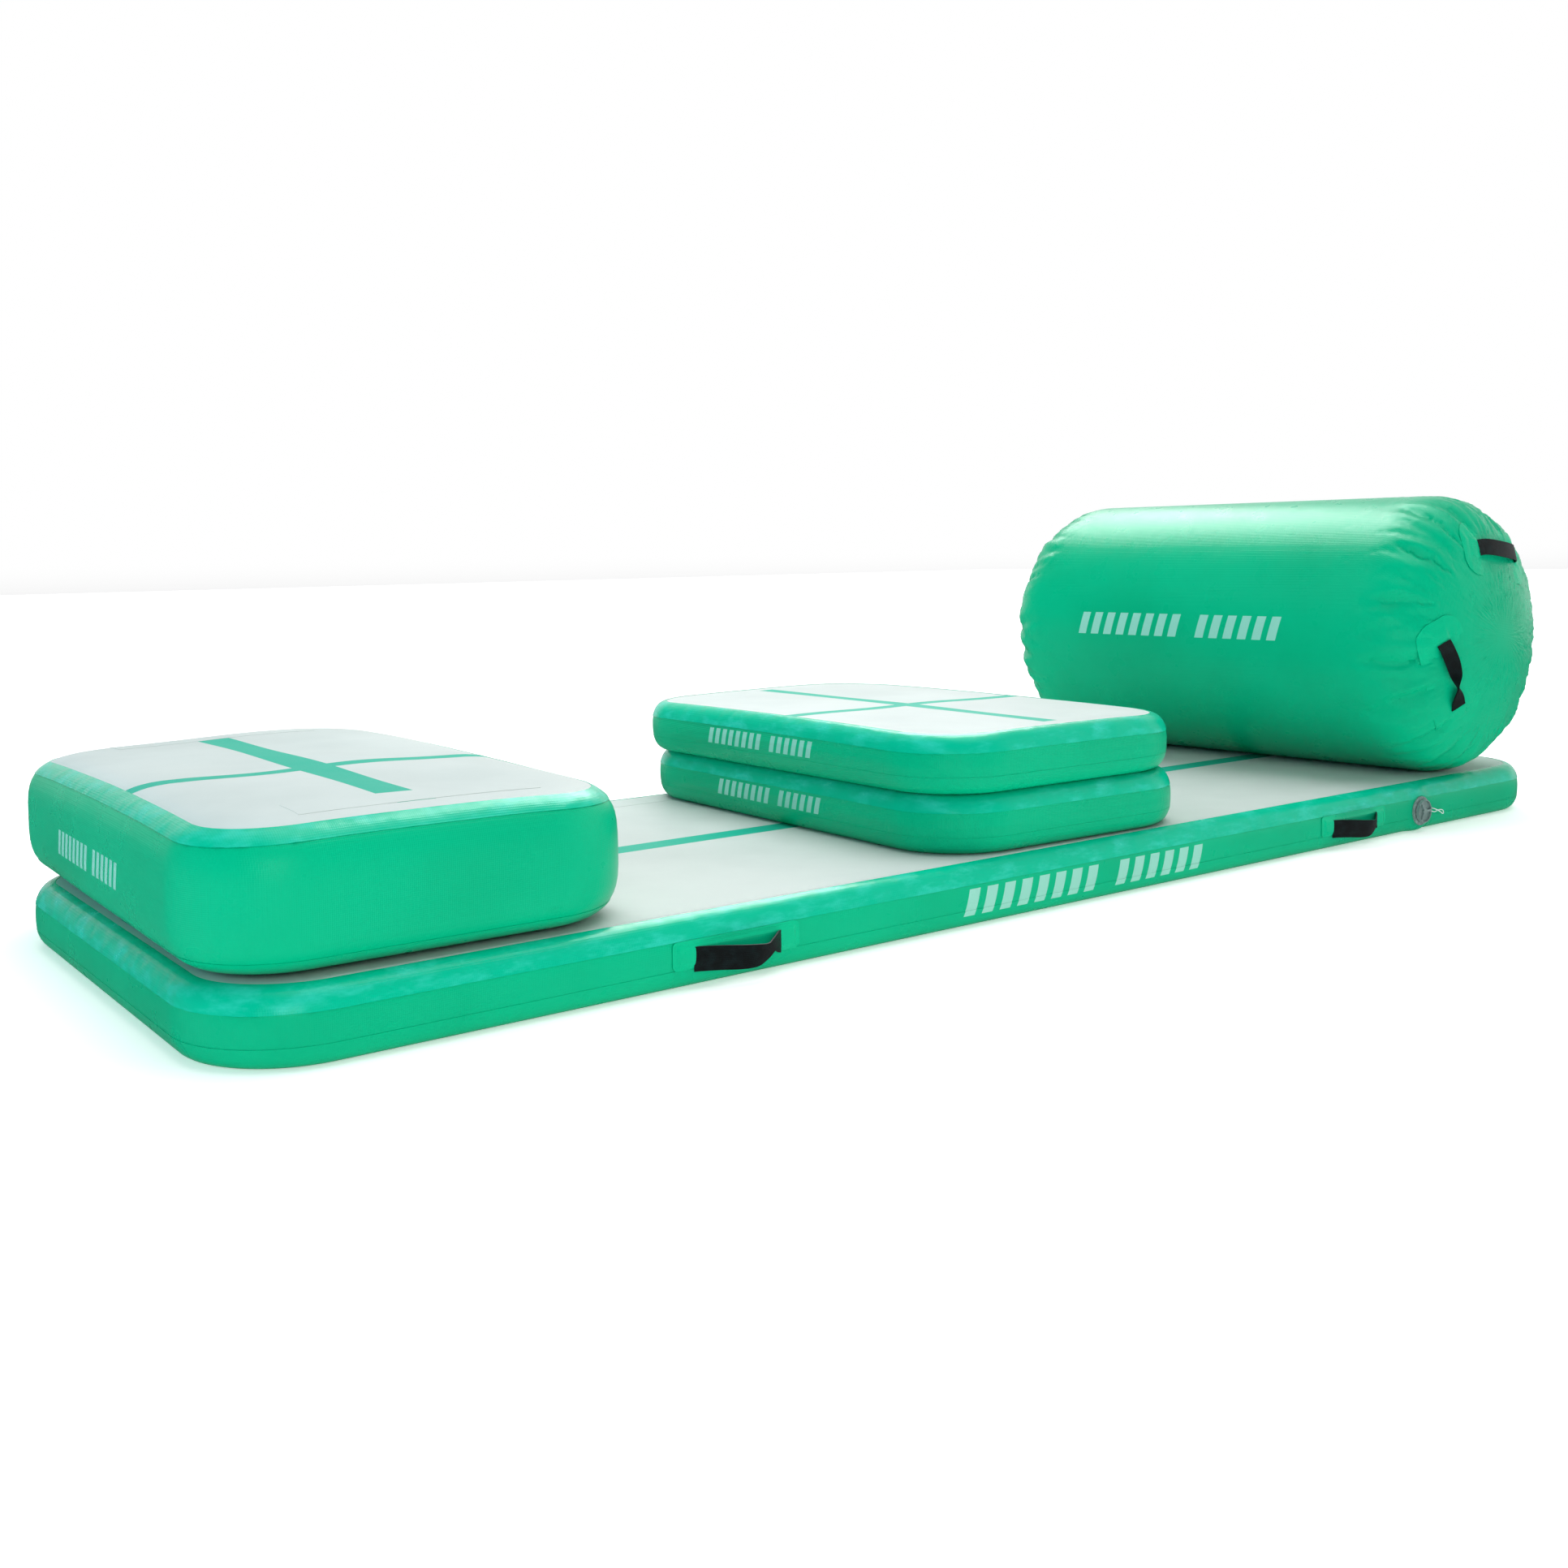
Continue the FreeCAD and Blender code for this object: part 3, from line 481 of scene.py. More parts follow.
def finish_nodes():
    """Give each carried-over node the finish of its material slot in the record."""
    for part in frame["record"]["subparts"]:
        if part["material_slot"] in node_paint:
            for holder in frame["nodes"][part["node"]].material_slots:
                holder.material = node_paint[part["material_slot"]]
            print(part["node"], "is finished as", part["material_slot"])


finish_nodes()

# %% [markdown]
# ## Meshes from grids
# Every sheet here is a grid of points: rows run across the sheet, columns along it.
# One helper turns a grid into a mesh, stores the sheet's coordinates on its points,
# and gives it real thickness, because a welded sheet has an edge that shows.

# %% grid helpers
SHEET, WELD_REACH = 1.2 * MM, 0.05 * MM
CREASE = math.radians(50)


def grid_faces(rows, columns, closed):
    """Quads between neighbouring rows; closed joins the last column to the first."""
    last = columns if closed else columns - 1
    return [(r * columns + c, r * columns + (c + 1) % columns,
             (r + 1) * columns + (c + 1) % columns, (r + 1) * columns + c)
            for r in range(rows - 1) for c in range(last)]


def apply_modifiers(piece):
    """Keep the mesh that the modifiers make, and drop the modifiers."""
    graph = bpy.context.evaluated_depsgraph_get()
    made = bpy.data.meshes.new_from_object(piece.evaluated_get(graph), depsgraph=graph)
    piece.modifiers.clear()
    piece.data = made


def sheet_mesh(name, grid, chart, paint, thick=SHEET, closed=True, weld=0.0, cut=None):
    """A piece from a rows x columns x 3 grid and its chart; cut marks points of a hole."""
    rows, columns = grid.shape[:2]
    faces = grid_faces(rows, columns, closed)
    if cut is not None:
        inside = cut.reshape(-1)
        faces = [face for face in faces if not all(inside[corner] for corner in face)]
    mesh = bpy.data.meshes.new(name)
    mesh.from_pydata(grid.reshape(-1, 3).tolist(), [], faces)
    stored = mesh.attributes.new("chart", "FLOAT_VECTOR", "POINT")
    stored.data.foreach_set("vector", np.asarray(chart, np.float32).reshape(-1))
    mesh.polygons.foreach_set("use_smooth", [True] * len(mesh.polygons))
    piece = new_piece(name, mesh)
    if cut is not None:
        drop_loose_points(mesh)
    if weld:
        piece.modifiers.new("weld", "WELD").merge_threshold = weld
    solid = piece.modifiers.new("sheet", "SOLIDIFY")
    solid.thickness, solid.offset = thick, -1.0
    apply_modifiers(piece)
    piece.data.set_sharp_from_angle(angle=CREASE)
    piece.data.materials.append(paint)
    return piece


def drop_loose_points(mesh):
    """Remove the points that no face uses."""
    work = bmesh.new()
    work.from_mesh(mesh)
    bmesh.ops.delete(work, geom=[v for v in work.verts if not v.link_faces], context="VERTS")
    work.to_mesh(mesh)
    work.free()


def settle_on(piece, body, *nodes):
    """The piece rides on a body and stands in for some hard nodes."""
    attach(piece, body)
    for node in nodes:
        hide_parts(node)


def node_points(*nodes):
    """All the points of some hard nodes."""
    return np.vstack([np.array([v.co for v in frame["nodes"][n].data.vertices]) for n in nodes])


def smooth(value, low, high):
    """0 below low, 1 above high and a soft ramp between."""
    share = np.clip((value - low) / (high - low), 0, 1)
    return share * share * (3 - 2 * share)


# %% [markdown]
# ## The shape of a blown-up chamber
# Threads hold the two faces flat, so only the wall bulges: seen from the side it is a
# superellipse, rounder than a fillet and flatter than a half circle.  The plan is a
# rectangle with round corners.  A point is named by its station round the plan and its
# turn up the wall, from -90 degrees on the underside to +90 on top.

# %% the chamber class
VALVE_FLAT, VALVE_FADE, VALVE_HOLE = 32 * MM, 52 * MM, 22 * MM


class Chamber:
    """The skin of one flat air chamber, in its own place in the set."""

    def __init__(self, name, turn, corner, depth, power, rim, tape_reach, seed):
        self.name, self.turn = name, turn
        self.corner, self.depth, self.power, self.rim = corner, depth, power, rim
        self.tape_reach, self.seed = tape_reach, seed
        points = self.from_world(node_points(name + "_edge_tapes", name + "_side_band"))
        low, high = points.min(axis=0), points.max(axis=0)
        self.shift = (low + high) / 2
        self.shift[2] = low[2]
        self.half_x, self.half_y, self.tall = (high - low) / (2, 2, 1)
        draw = np.random.default_rng(seed)
        self.waves = [(turns, 1.0 / (1 + 0.25 * turns), draw.uniform(0, 2 * math.pi))
                      for turns in range(2, 12)]
        port = joint(name + "_cap_turn")
        self.port = self.from_world(np.array(port["pos_m"])) - self.shift
        self.port_axis = int(np.argmax(np.abs(self.from_world(np.array(port["axis"])))))
        print(name, "is", [round(float(size) / MM) for size in high - low], "mm")

    def from_world(self, points):
        c, s = math.cos(self.turn), math.sin(self.turn)
        return points @ np.array([[c, -s, 0], [s, c, 0], [0, 0, 1]])

    def to_world(self, points):
        c, s = math.cos(self.turn), math.sin(self.turn)
        return (self.settle(points) + self.shift) @ np.array([[c, s, 0], [-s, c, 0], [0, 0, 1]])

    def settle(self, points):
        """Lift or lower the chamber's upper part by its own soft unevenness."""
        lift, droop, wave, dip = TOP_SHAPE[self.name]
        u, v = points[..., 0] / self.half_x, points[..., 1] / self.half_y
        rise = lift * self.crown(u, v) - droop * np.minimum(np.abs(u * v) ** 3 * 2, 1.2)
        rise += wave * np.maximum(v, 0) * np.sin(2.6 * u)
        rise -= dip * np.exp(-((v + 0.45) / 0.3) ** 2) * np.maximum(u, 0) ** 3
        moved = points.copy()
        moved[..., 2] += rise * (points[..., 2] / self.tall) ** 2
        return moved

    def crown(self, u, v):
        """A soft quilted swelling between the guide lines, 0 at the rims."""
        lobes = 0.6 + 0.4 * np.cos(2 * math.pi * (u - 0.2)) * np.cos(2 * math.pi * (v + 0.1))
        return np.maximum((1 - u ** 2) * (1 - v ** 2), 0) * lobes

    def stations(self, count):
        """Points round the plan at even steps, their outward directions, and shares."""
        r, hx, hy = self.corner, self.half_x - self.corner, self.half_y - self.corner
        arc = r * math.pi / 2
        legs = [2 * hx, arc, 2 * hy, arc, 2 * hx, arc, 2 * hy, arc]
        start = [(-hx, -hy - r), (hx, -hy), (hx + r, -hy), (hx, hy), (hx, hy + r), (-hx, hy),
                 (-hx - r, hy), (-hx, -hy)]
        heading = [-90, -90, 0, 0, 90, 90, 180, 180]
        run = np.arange(count) * sum(legs) / count
        spots, normals = np.zeros((count, 2)), np.zeros((count, 2))
        passed = 0.0
        for leg, (length, (x, y), face) in enumerate(zip(legs, start, heading)):
            chosen = (run >= passed - 1e-9) & (run < passed + length)
            t = run[chosen] - passed
            angle = np.radians(face) + (t / r if leg % 2 else 0 * t)
            normal = np.stack([np.cos(angle), np.sin(angle)], axis=1)
            if leg % 2:
                spots[chosen] = np.array([x, y]) + normal * r
            else:
                ahead = np.array([-math.sin(math.radians(face)), math.cos(math.radians(face))])
                spots[chosen] = np.array([x, y]) + t[:, None] * ahead
            normals[chosen] = normal
            passed += length
        return spots, normals, run / sum(legs)

    def profile(self, lift):
        """Inset from the widest line, and height, at a turn up the wall (radians)."""
        inset = self.depth * (1 - np.cos(lift) ** (2 / self.power))
        rise = np.sign(np.sin(lift)) * np.abs(np.sin(lift)) ** (2 / self.power)
        return inset, self.tall / 2 * (1 + rise)

    def turn_at_inset(self, inset):
        return np.arccos((1 - np.minimum(inset / self.depth, 1)) ** (self.power / 2))

    def turn_at_height(self, height):
        rise = 2 * height / self.tall - 1
        return math.copysign(math.asin(abs(rise) ** (self.power / 2)), rise)

    def slope(self, lift):
        """Which way the wall faces at a turn: outward and upward shares."""
        step = 1e-4
        low, high = max(lift - step, -math.pi / 2), min(lift + step, math.pi / 2)
        (inset_a, height_a), (inset_b, height_b) = self.profile(low), self.profile(high)
        across, rise = inset_a - inset_b, height_b - height_a
        length = math.hypot(across, rise)
        return rise / length, -across / length

    def swell(self, around):
        """The wall's slow unevenness at a share of the way round, from -1 to 1."""
        return sum(size * np.sin(2 * math.pi * turns * around + phase)
                   for turns, size, phase in self.waves) / 3.0

    def wall(self, turns, count, out=0.0, uneven=0.8 * MM):
        """The wall's grid between some turns up the profile; out is one push per row."""
        spots, normals, around = self.stations(count)
        pushes = np.broadcast_to(out, (len(turns), count))
        grid = np.zeros((len(turns), count, 3))
        for row, lift in enumerate(turns):
            inset, height = self.profile(lift)
            outward, upward = self.slope(lift)
            push = pushes[row] + uneven * self.swell(around) * math.cos(lift) ** 2
            grid[row, :, :2] = spots - normals * (inset - push * outward)[:, None]
            grid[row, :, 2] = height + push * upward
        return self.flatten(grid)

    def at_port(self, grid):
        """How far each point of a wall lies from the valve's middle, on the valve's side."""
        axis = self.port_axis
        side = np.sign(self.port[axis])
        gap = grid - self.port
        gap[..., axis] *= 0
        distance = np.sqrt((gap ** 2).sum(axis=-1))
        return np.where(grid[..., axis] * side > 0, distance, 1.0), axis, side

    def flatten(self, grid):
        """The welded valve holds the wall flat round itself."""
        distance, axis, side = self.at_port(grid)
        hold = 1 - smooth(distance, VALVE_FLAT, VALVE_FADE)
        plane = side * (self.half_x, self.half_y)[axis]
        grid[..., axis] += hold * (plane - grid[..., axis])
        return grid

    def face(self, count, rings, top):
        """The flat face's grid, from under the tape in to the middle line."""
        spots, normals, _ = self.stations(count)
        side = 1 if top else -1
        edge_turn = side * self.turn_at_inset(self.rim - TAPE_LAP)
        rows = []
        for lift in np.linspace(edge_turn, side * math.pi / 2, 7):
            depth, height = self.profile(lift)
            rows.append(np.column_stack([spots - normals * depth, np.full(count, height)]))
        rim = rows[-1]
        spare = self.half_x - self.half_y
        core = rim.copy()
        core[:, 0] = np.clip(rim[:, 0], -max(spare, 0), max(spare, 0))
        core[:, 1] = np.clip(rim[:, 1], -max(-spare, 0), max(-spare, 0))
        rows += [rim + (core - rim) * ring / rings for ring in range(1, rings + 1)]
        return np.array(rows)


def board_turn(name):
    axis = joint(name + "_cap_turn")["axis"]
    return math.atan2(axis[1], axis[0])


# %% [markdown]
# ## Five chambers, four of them flat
# The mat, the block and the boards share one class.  Only their corner radius, how far
# the wall bulges and how square its profile is differ.  The block is the fattest, so
# its top domes most and its corners droop.  The lower board is pressed flat.

# %% the four flat chambers
TAPE_LAP, TAPE_OUT = 5 * MM, 0.7 * MM
TOP_SHAPE = {"mat": (-0.6 * MM, 0, 0, 0), "block": (6 * MM, 8 * MM, 4 * MM, 4 * MM),
             "lower_board": (-0.8 * MM, 2 * MM, 0, 0),
             "upper_board": (2.5 * MM, 4 * MM, 1.5 * MM, 0)}
chambers = [
    Chamber("mat", 0.0, 0.157, 0.033, 2.43, 0.030, 0.030, 11),
    Chamber("block", board_turn("block"), 0.143, 0.120, 3.68, 0.036, 0.025, 23),
    Chamber("lower_board", board_turn("lower_board"), 0.146, 0.032, 2.42, 0.030, 0.030, 37),
    Chamber("upper_board", board_turn("upper_board"), 0.146, 0.032, 2.42, 0.030, 0.030, 41),
]
by_name = {chamber.name: chamber for chamber in chambers}

# %% [markdown]
# ## Wall, tapes and faces
# On the real chamber the wall is one band of fabric.  A tape laps it and the face at
# each rim, and puckers a little where it has to turn a corner.  So the upper tape's free
# edge is pushed out by short random ripples that gather at the corners.

# %% make one chamber
RIPPLE, RIPPLES_A_METRE = 1.3 * MM, 40
WALL_ROWS, WALL_COLUMNS, FACE_COLUMNS, FACE_RINGS = 12, 90, 60, 22


def tape_ripples(chamber, count, turns, free_turn):
    """Short puckers along a tape's free edge, gathered at the corners: a push per point."""
    _, normals, around = chamber.stations(count)
    draw = np.random.default_rng(chamber.seed + 7)
    perimeter = 4 * (chamber.half_x + chamber.half_y)
    height = np.zeros(count)
    for _ in range(int(perimeter * RIPPLES_A_METRE)):
        middle, width = draw.uniform(0, 1), draw.uniform(4, 9) * MM / perimeter
        gap = (around - middle + 0.5) % 1.0 - 0.5
        height += draw.uniform(0.2, 0.8) * np.exp(-(gap / width) ** 2)
    corner = 0.2 + 0.8 * np.sqrt(2 * np.abs(normals[:, 0] * normals[:, 1]))
    near = np.exp(-((turns - free_turn) / 0.16) ** 2)
    return RIPPLE * near[:, None] * (corner * height)[None, :]


def make_chamber(chamber):
    name = chamber.name
    perimeter = 4 * (chamber.half_x + chamber.half_y)
    low, high = (chamber.turn_at_height(height) for height in
                 (chamber.tape_reach, chamber.tall - chamber.tape_reach))
    lap_low, lap_high = (chamber.turn_at_height(height) for height in
                         (chamber.tape_reach - TAPE_LAP,
                          chamber.tall - chamber.tape_reach + TAPE_LAP))
    grid = chamber.wall(np.linspace(lap_low, lap_high, WALL_ROWS),
                        int(perimeter * WALL_COLUMNS))
    hole = chamber.at_port(grid)[0] < VALVE_HOLE
    band = sheet_mesh(name + "_wall", chamber.to_world(grid), grid, band_paint[name], cut=hole)
    settle_on(band, name, name + "_side_band")

    edge = float(chamber.turn_at_inset(chamber.rim))
    # The upper tape wears the seam tape paint, painted lighter as painted light; the lower tape wears the wall's
    # own green.
    for level, start, end, free, rows, density, paint in (
            ("upper", high, edge, high, 10, 150, tape_paint),
            ("lower", -edge, low, low, 8, WALL_COLUMNS, band_paint[name])):
        turns, count = np.linspace(start, end, rows), int(perimeter * density)
        out = TAPE_OUT + tape_ripples(chamber, count, turns, free) * (level == "upper")
        grid = chamber.wall(turns, count, out=out)
        tape = sheet_mesh("%s_%s_tape" % (name, level), chamber.to_world(grid), grid, paint,
                          thick=TAPE_OUT)
        settle_on(tape, name, name + "_edge_tapes")

    count = int(perimeter * FACE_COLUMNS)
    for word, top, paint in (("top_panel", True, panel_paint[name]),
                             ("bottom_panel", False, underside_paint)):
        grid = chamber.face(count, FACE_RINGS, top)
        if not top:
            grid = grid[:, ::-1]
        panel = sheet_mesh("%s_%s_skin" % (name, word), chamber.to_world(grid), grid, paint,
                           weld=WELD_REACH)
        settle_on(panel, name, "%s_%s" % (name, word))
    return band


walls = {chamber.name: make_chamber(chamber) for chamber in chambers}

# %% [markdown]
# ## Grey strips beside the rims
# A flat grey strip is glued along each long rim of the mat and the block, where the
# landing surface meets the tape.  It follows the top exactly, half a millimetre proud.

# %% seam strips
STRIP_WIDTH, STRIP_THICK = 70 * MM, 0.35 * MM


def make_strips(chamber):
    spots = chamber.from_world(node_points(chamber.name + "_seam_strips")) - chamber.shift
    along = np.linspace(spots[:, 0].min(), spots[:, 0].max(), 120)
    edge = spots[:, 1].max()
    for word, side in (("front", -1), ("back", 1)):
        across = np.linspace(edge - STRIP_WIDTH, edge, 9) * side
        across = across[::side]
        inset = chamber.half_y - np.abs(across)
        height = chamber.profile(chamber.turn_at_inset(inset))[1]
        grid = np.zeros((len(across), len(along), 3))
        grid[..., 0], grid[..., 1] = along[None, :], across[:, None]
        grid[..., 2] = height[:, None] + STRIP_THICK
        strip = sheet_mesh("%s_%s_strip" % (chamber.name, word), chamber.to_world(grid), grid,
                           strip_paint, thick=STRIP_THICK, closed=False)
        settle_on(strip, chamber.name, chamber.name + "_seam_strips")


make_strips(by_name["mat"])
make_strips(by_name["block"])

# %% [markdown]
# ## The air roll
# The roll is a tube closed with flat discs.  Blown up, the disc's rim and the tube's
# mouth are both too long for the rounder shape, so the spare cloth gathers in short
# folds across the seam.  First comes its smooth shape: a dome, a shoulder and a barrel.

# %% the roll's smooth shape
turn_joint = joint("roll_turn")
AXLE = Vector(turn_joint["axis"]).normalized()
ROLL_MIDDLE = Vector(turn_joint["pos_m"])
ROLL_TURN = math.atan2(-AXLE.x, AXLE.y)
ROLL_R, ROLL_HALF, SHOULDER, DOME, SEAM = 0.302, 0.601, 0.140, 0.582, 0.506
HUB = ROLL_R - SHOULDER
DOME_AT = ROLL_HALF - DOME
SHOULDER_AT = DOME_AT + math.sqrt((DOME - SHOULDER) ** 2 - HUB ** 2)
LEAN = math.atan2(SHOULDER_AT - DOME_AT, HUB)


def roll_world(points):
    c, s = math.cos(ROLL_TURN), math.sin(ROLL_TURN)
    return points @ np.array([[c, s, 0], [-s, c, 0], [0, 0, 1]]) + np.array(ROLL_MIDDLE)


def meridian(travel):
    """Radius and place along the axis, measured along the skin from the apex (metres)."""
    dome_run = DOME * (math.pi / 2 - LEAN)
    shoulder_run = SHOULDER * LEAN
    if travel < dome_run:
        angle = math.pi / 2 - travel / DOME
        return DOME * math.cos(angle), DOME_AT + DOME * math.sin(angle)
    if travel < dome_run + shoulder_run:
        angle = LEAN - (travel - dome_run) / SHOULDER
        return HUB + SHOULDER * math.cos(angle), SHOULDER_AT + SHOULDER * math.sin(angle)
    return ROLL_R, SHOULDER_AT - (travel - dome_run - shoulder_run)


def facing(travel):
    """Which way the skin faces at a run: outward and endward shares."""
    (r_a, p_a), (r_b, p_b) = meridian(max(travel - 1e-4, 0)), meridian(travel + 1e-4)
    length = math.hypot(r_b - r_a, p_b - p_a)
    return -(p_b - p_a) / length, (r_b - r_a) / length


def seam_travel():
    """How far along the skin from the apex the seam lies."""
    low, high = 0.0, 0.6
    for _ in range(40):
        middle = (low + high) / 2
        low, high = (middle, high) if meridian(middle)[1] > SEAM else (low, middle)
    return low


SEAM_RUN = seam_travel()
MIDDLE_RUN = DOME * (math.pi / 2 - LEAN) + SHOULDER * LEAN + SHOULDER_AT
DISC_RUNS = np.concatenate([np.linspace(0.0214, SEAM_RUN - 0.1, 22),
                            np.linspace(SEAM_RUN - 0.095, SEAM_RUN, 20)])
TUBE_RUNS = np.concatenate([np.linspace(SEAM_RUN + 0.005, SEAM_RUN + 0.10, 20),
                            np.linspace(SEAM_RUN + 0.107, SEAM_RUN + 0.2, 10)])
FOLD_RUNS = np.concatenate([DISC_RUNS, TUBE_RUNS])
ROUND = 300
ANGLES = np.arange(ROUND) * 2 * math.pi / ROUND
print("seam at", round(SEAM_RUN, 4), "middle of the barrel at", round(MIDDLE_RUN, 4))

# %% [markdown]
# ## Where the folds come from
# Cloth simulation finds the folds.  The rest shape is the roll as cut, a straight tube
# and a flat disc, and it is blown up inside the rounder shape.  A few seeded dents
# start the folds, and the simulation then moves them where the cloth wants them.

# %% the end of the roll as cloth
FOLD_COUNT, FOLD_START = 58, 3.5 * MM
CLOTH_FRAMES, PRESSURE, STRETCH = 110, 5, 15


def first_dents():
    """Seeded dents across the seam, as a height for every run and angle."""
    draw = np.random.default_rng(4)
    dents = draw.normal(0, 0.2 * MM, (len(FOLD_RUNS), ROUND))
    pitch = 2 * math.pi / FOLD_COUNT
    middles = (np.arange(FOLD_COUNT) + draw.uniform(-0.35, 0.35, FOLD_COUNT)) * pitch
    for middle in middles:
        tube_reach, end_reach = draw.uniform(0.03, 0.09), draw.uniform(0.03, 0.08)
        width, deep, drift = draw.uniform(0.35, 0.6), draw.uniform(0.3, 1), draw.uniform(-0.9, 0.9)
        for row, run in enumerate(FOLD_RUNS - SEAM_RUN):
            reach = tube_reach if run > 0 else end_reach
            gap = (ANGLES - middle - drift * run + math.pi) % (2 * math.pi) - math.pi
            dents[row] -= (FOLD_START * deep * math.exp(-(run / reach) ** 2)
                           * np.exp(-(gap / (width * pitch)) ** 2))
    return dents


def ring_points(runs, heights, ends=-1):
    """Grid round the roll at some runs, raised by heights along the skin's own facing."""
    grid = np.zeros((len(runs), ROUND, 3))
    for row, run in enumerate(runs):
        (radius, place), (outward, endward) = meridian(run), facing(run)
        reach = radius + heights[row] * outward
        grid[row, :, 0] = reach * np.cos(ANGLES)
        grid[row, :, 1] = ends * (place + heights[row] * endward)
        grid[row, :, 2] = reach * np.sin(ANGLES)
    return grid


def as_cut(runs):
    """The same points on the fabric as it was cut: a flat disc and a straight tube."""
    grid = np.zeros((len(runs), ROUND, 3))
    for row, run in enumerate(runs):
        radius, place = (run, SEAM) if run <= SEAM_RUN else (ROLL_R, SEAM - run + SEAM_RUN)
        grid[row, :, 0], grid[row, :, 1] = radius * np.cos(ANGLES), -place
        grid[row, :, 2] = radius * np.sin(ANGLES)
    return grid


def set_cloth(holder, pinned):
    """Thin, stretch-resistant cloth under air pressure, with no gravity."""
    cloth = holder.modifiers.new("cloth", "CLOTH")
    settings = cloth.settings
    settings.quality, settings.mass, settings.air_damping = 5, 0.2, 1.0
    settings.tension_stiffness = settings.compression_stiffness = STRETCH
    settings.shear_stiffness, settings.bending_stiffness = STRETCH / 3, 0.3
    settings.tension_damping = settings.compression_damping = settings.shear_damping = 5
    settings.bending_damping = 0.5
    settings.use_pressure, settings.uniform_pressure_force = True, PRESSURE
    settings.vertex_group_mass = pinned
    settings.rest_shape_key = holder.data.shape_keys.key_blocks["as_cut"]
    settings.effector_weights.gravity = 0
    cloth.collision_settings.use_collision = False
    cloth.point_cache.frame_start, cloth.point_cache.frame_end = 1, CLOTH_FRAMES


def blow_up(dents):
    """Let the cloth find its folds, and read them back as heights over the smooth shape."""
    start = ring_points(FOLD_RUNS, dents)
    mesh = bpy.data.meshes.new("roll_end_cloth")
    mesh.from_pydata(start.reshape(-1, 3).tolist(), [],
                     [face[::-1] for face in grid_faces(len(FOLD_RUNS), ROUND, True)])
    holder = new_piece("roll_end_cloth", mesh)
    holder.shape_key_add(name="blown")
    cut = holder.shape_key_add(name="as_cut")
    cut.data.foreach_set("co", as_cut(FOLD_RUNS).reshape(-1).astype(np.float32))
    pin = holder.vertex_groups.new(name="pin")
    total = len(FOLD_RUNS) * ROUND
    pin.add([*range(ROUND), *range(total - 3 * ROUND, total)], 1.0, "REPLACE")
    set_cloth(holder, "pin")
    for step in range(1, CLOTH_FRAMES + 1):
        bpy.context.scene.frame_set(step)
    graph = bpy.context.evaluated_depsgraph_get()
    blown = holder.evaluated_get(graph).data
    points = np.zeros(total * 3, np.float32)
    blown.vertices.foreach_get("co", points)
    bpy.data.objects.remove(holder)
    bpy.context.scene.frame_set(1)
    moved = points.reshape(start.shape) - ring_points(FOLD_RUNS, dents * 0)
    outward = moved[..., 0] * np.cos(ANGLES) + moved[..., 2] * np.sin(ANGLES)
    shares = np.array([facing(run) for run in FOLD_RUNS])
    return outward * shares[:, :1] - moved[..., 1] * shares[:, 1:]


# %% [markdown]
# ## From the simulation to a height map
# Only the folds are kept, made a little deeper, and not the average swelling: the
# smooth shape already has that.  No fold may rise further than the shoulder leaves
# room for, so the roll still rests on the mat and turns on it.

# %% the folds as heights
FOLD_GAIN, DEEPEST, HIGHEST_ON_BARREL = 2.8, -10 * MM, 0.3 * MM
APEX_FADE, BARREL_FADE = (0.02, 0.10), (SEAM_RUN + 0.14, SEAM_RUN + 0.2)


def fold_heights():
    heights = first_dents()
    heights = blow_up(heights)
    heights = heights - heights.mean(axis=1)[:, None]
    heights *= FOLD_GAIN
    fade = smooth(FOLD_RUNS, *APEX_FADE) * (1 - smooth(FOLD_RUNS, *BARREL_FADE))
    radii = np.array([meridian(run)[0] for run in FOLD_RUNS])
    room = HIGHEST_ON_BARREL + (ROLL_R - radii) * 0.25
    heights = np.clip(heights * fade[:, None], DEEPEST, room[:, None])
    print("folds from", round(heights.min() / MM, 2), "to", round(heights.max() / MM, 2), "mm")
    return heights


FAR_TURN = 71
near_heights = fold_heights()
far_heights = np.roll(near_heights[:, ::-1], FAR_TURN, axis=1)

# %% [markdown]
# ## The roll's tube, its discs and the tape inside
# The skin is split at the seam, as the real one is.  A narrow tape is welded over the
# seam on the inside.  The folds carry on through all three layers.

# %% roll pieces
seam_row = len(DISC_RUNS) - 1
BARREL_RUNS = np.linspace(SEAM_RUN + 0.21, MIDDLE_RUN, 14)
APEX_RUN, APEX_WELD = 0.4 * MM, 0.1 * MM
INNER_DEPTH, INNER_THICK = 1.3 * MM, 0.5 * MM


def make_tube():
    runs = np.concatenate([FOLD_RUNS[seam_row:], BARREL_RUNS])
    ends = []
    for heights, side in ((near_heights, -1), (far_heights, 1)):
        tall = np.vstack([heights[seam_row:], np.zeros((len(BARREL_RUNS), ROUND))])
        ends.append(ring_points(runs, tall, side))
    grid = np.concatenate([ends[0], ends[1][::-1][1:]])[:, ::-1]
    tube = sheet_mesh("roll_tube", roll_world(grid), grid, roll_paint)
    settle_on(tube, "roll", "roll_skin")
    return tube


def make_disc(word, heights, side):
    runs, tall = FOLD_RUNS[:seam_row + 1], heights[:seam_row + 1]
    if side < 0:
        runs, tall = np.concatenate([[APEX_RUN], runs]), np.vstack([tall[:1] * 0, tall])
    grid = ring_points(runs, tall, side)
    if side < 0:
        grid = grid[:, ::-1]
    disc = sheet_mesh("roll_%s_disc" % word, roll_world(grid), grid, roll_paint,
                      weld=APEX_WELD if side < 0 else 0.0)
    settle_on(disc, "roll", "roll_%s_end" % word)
    return disc


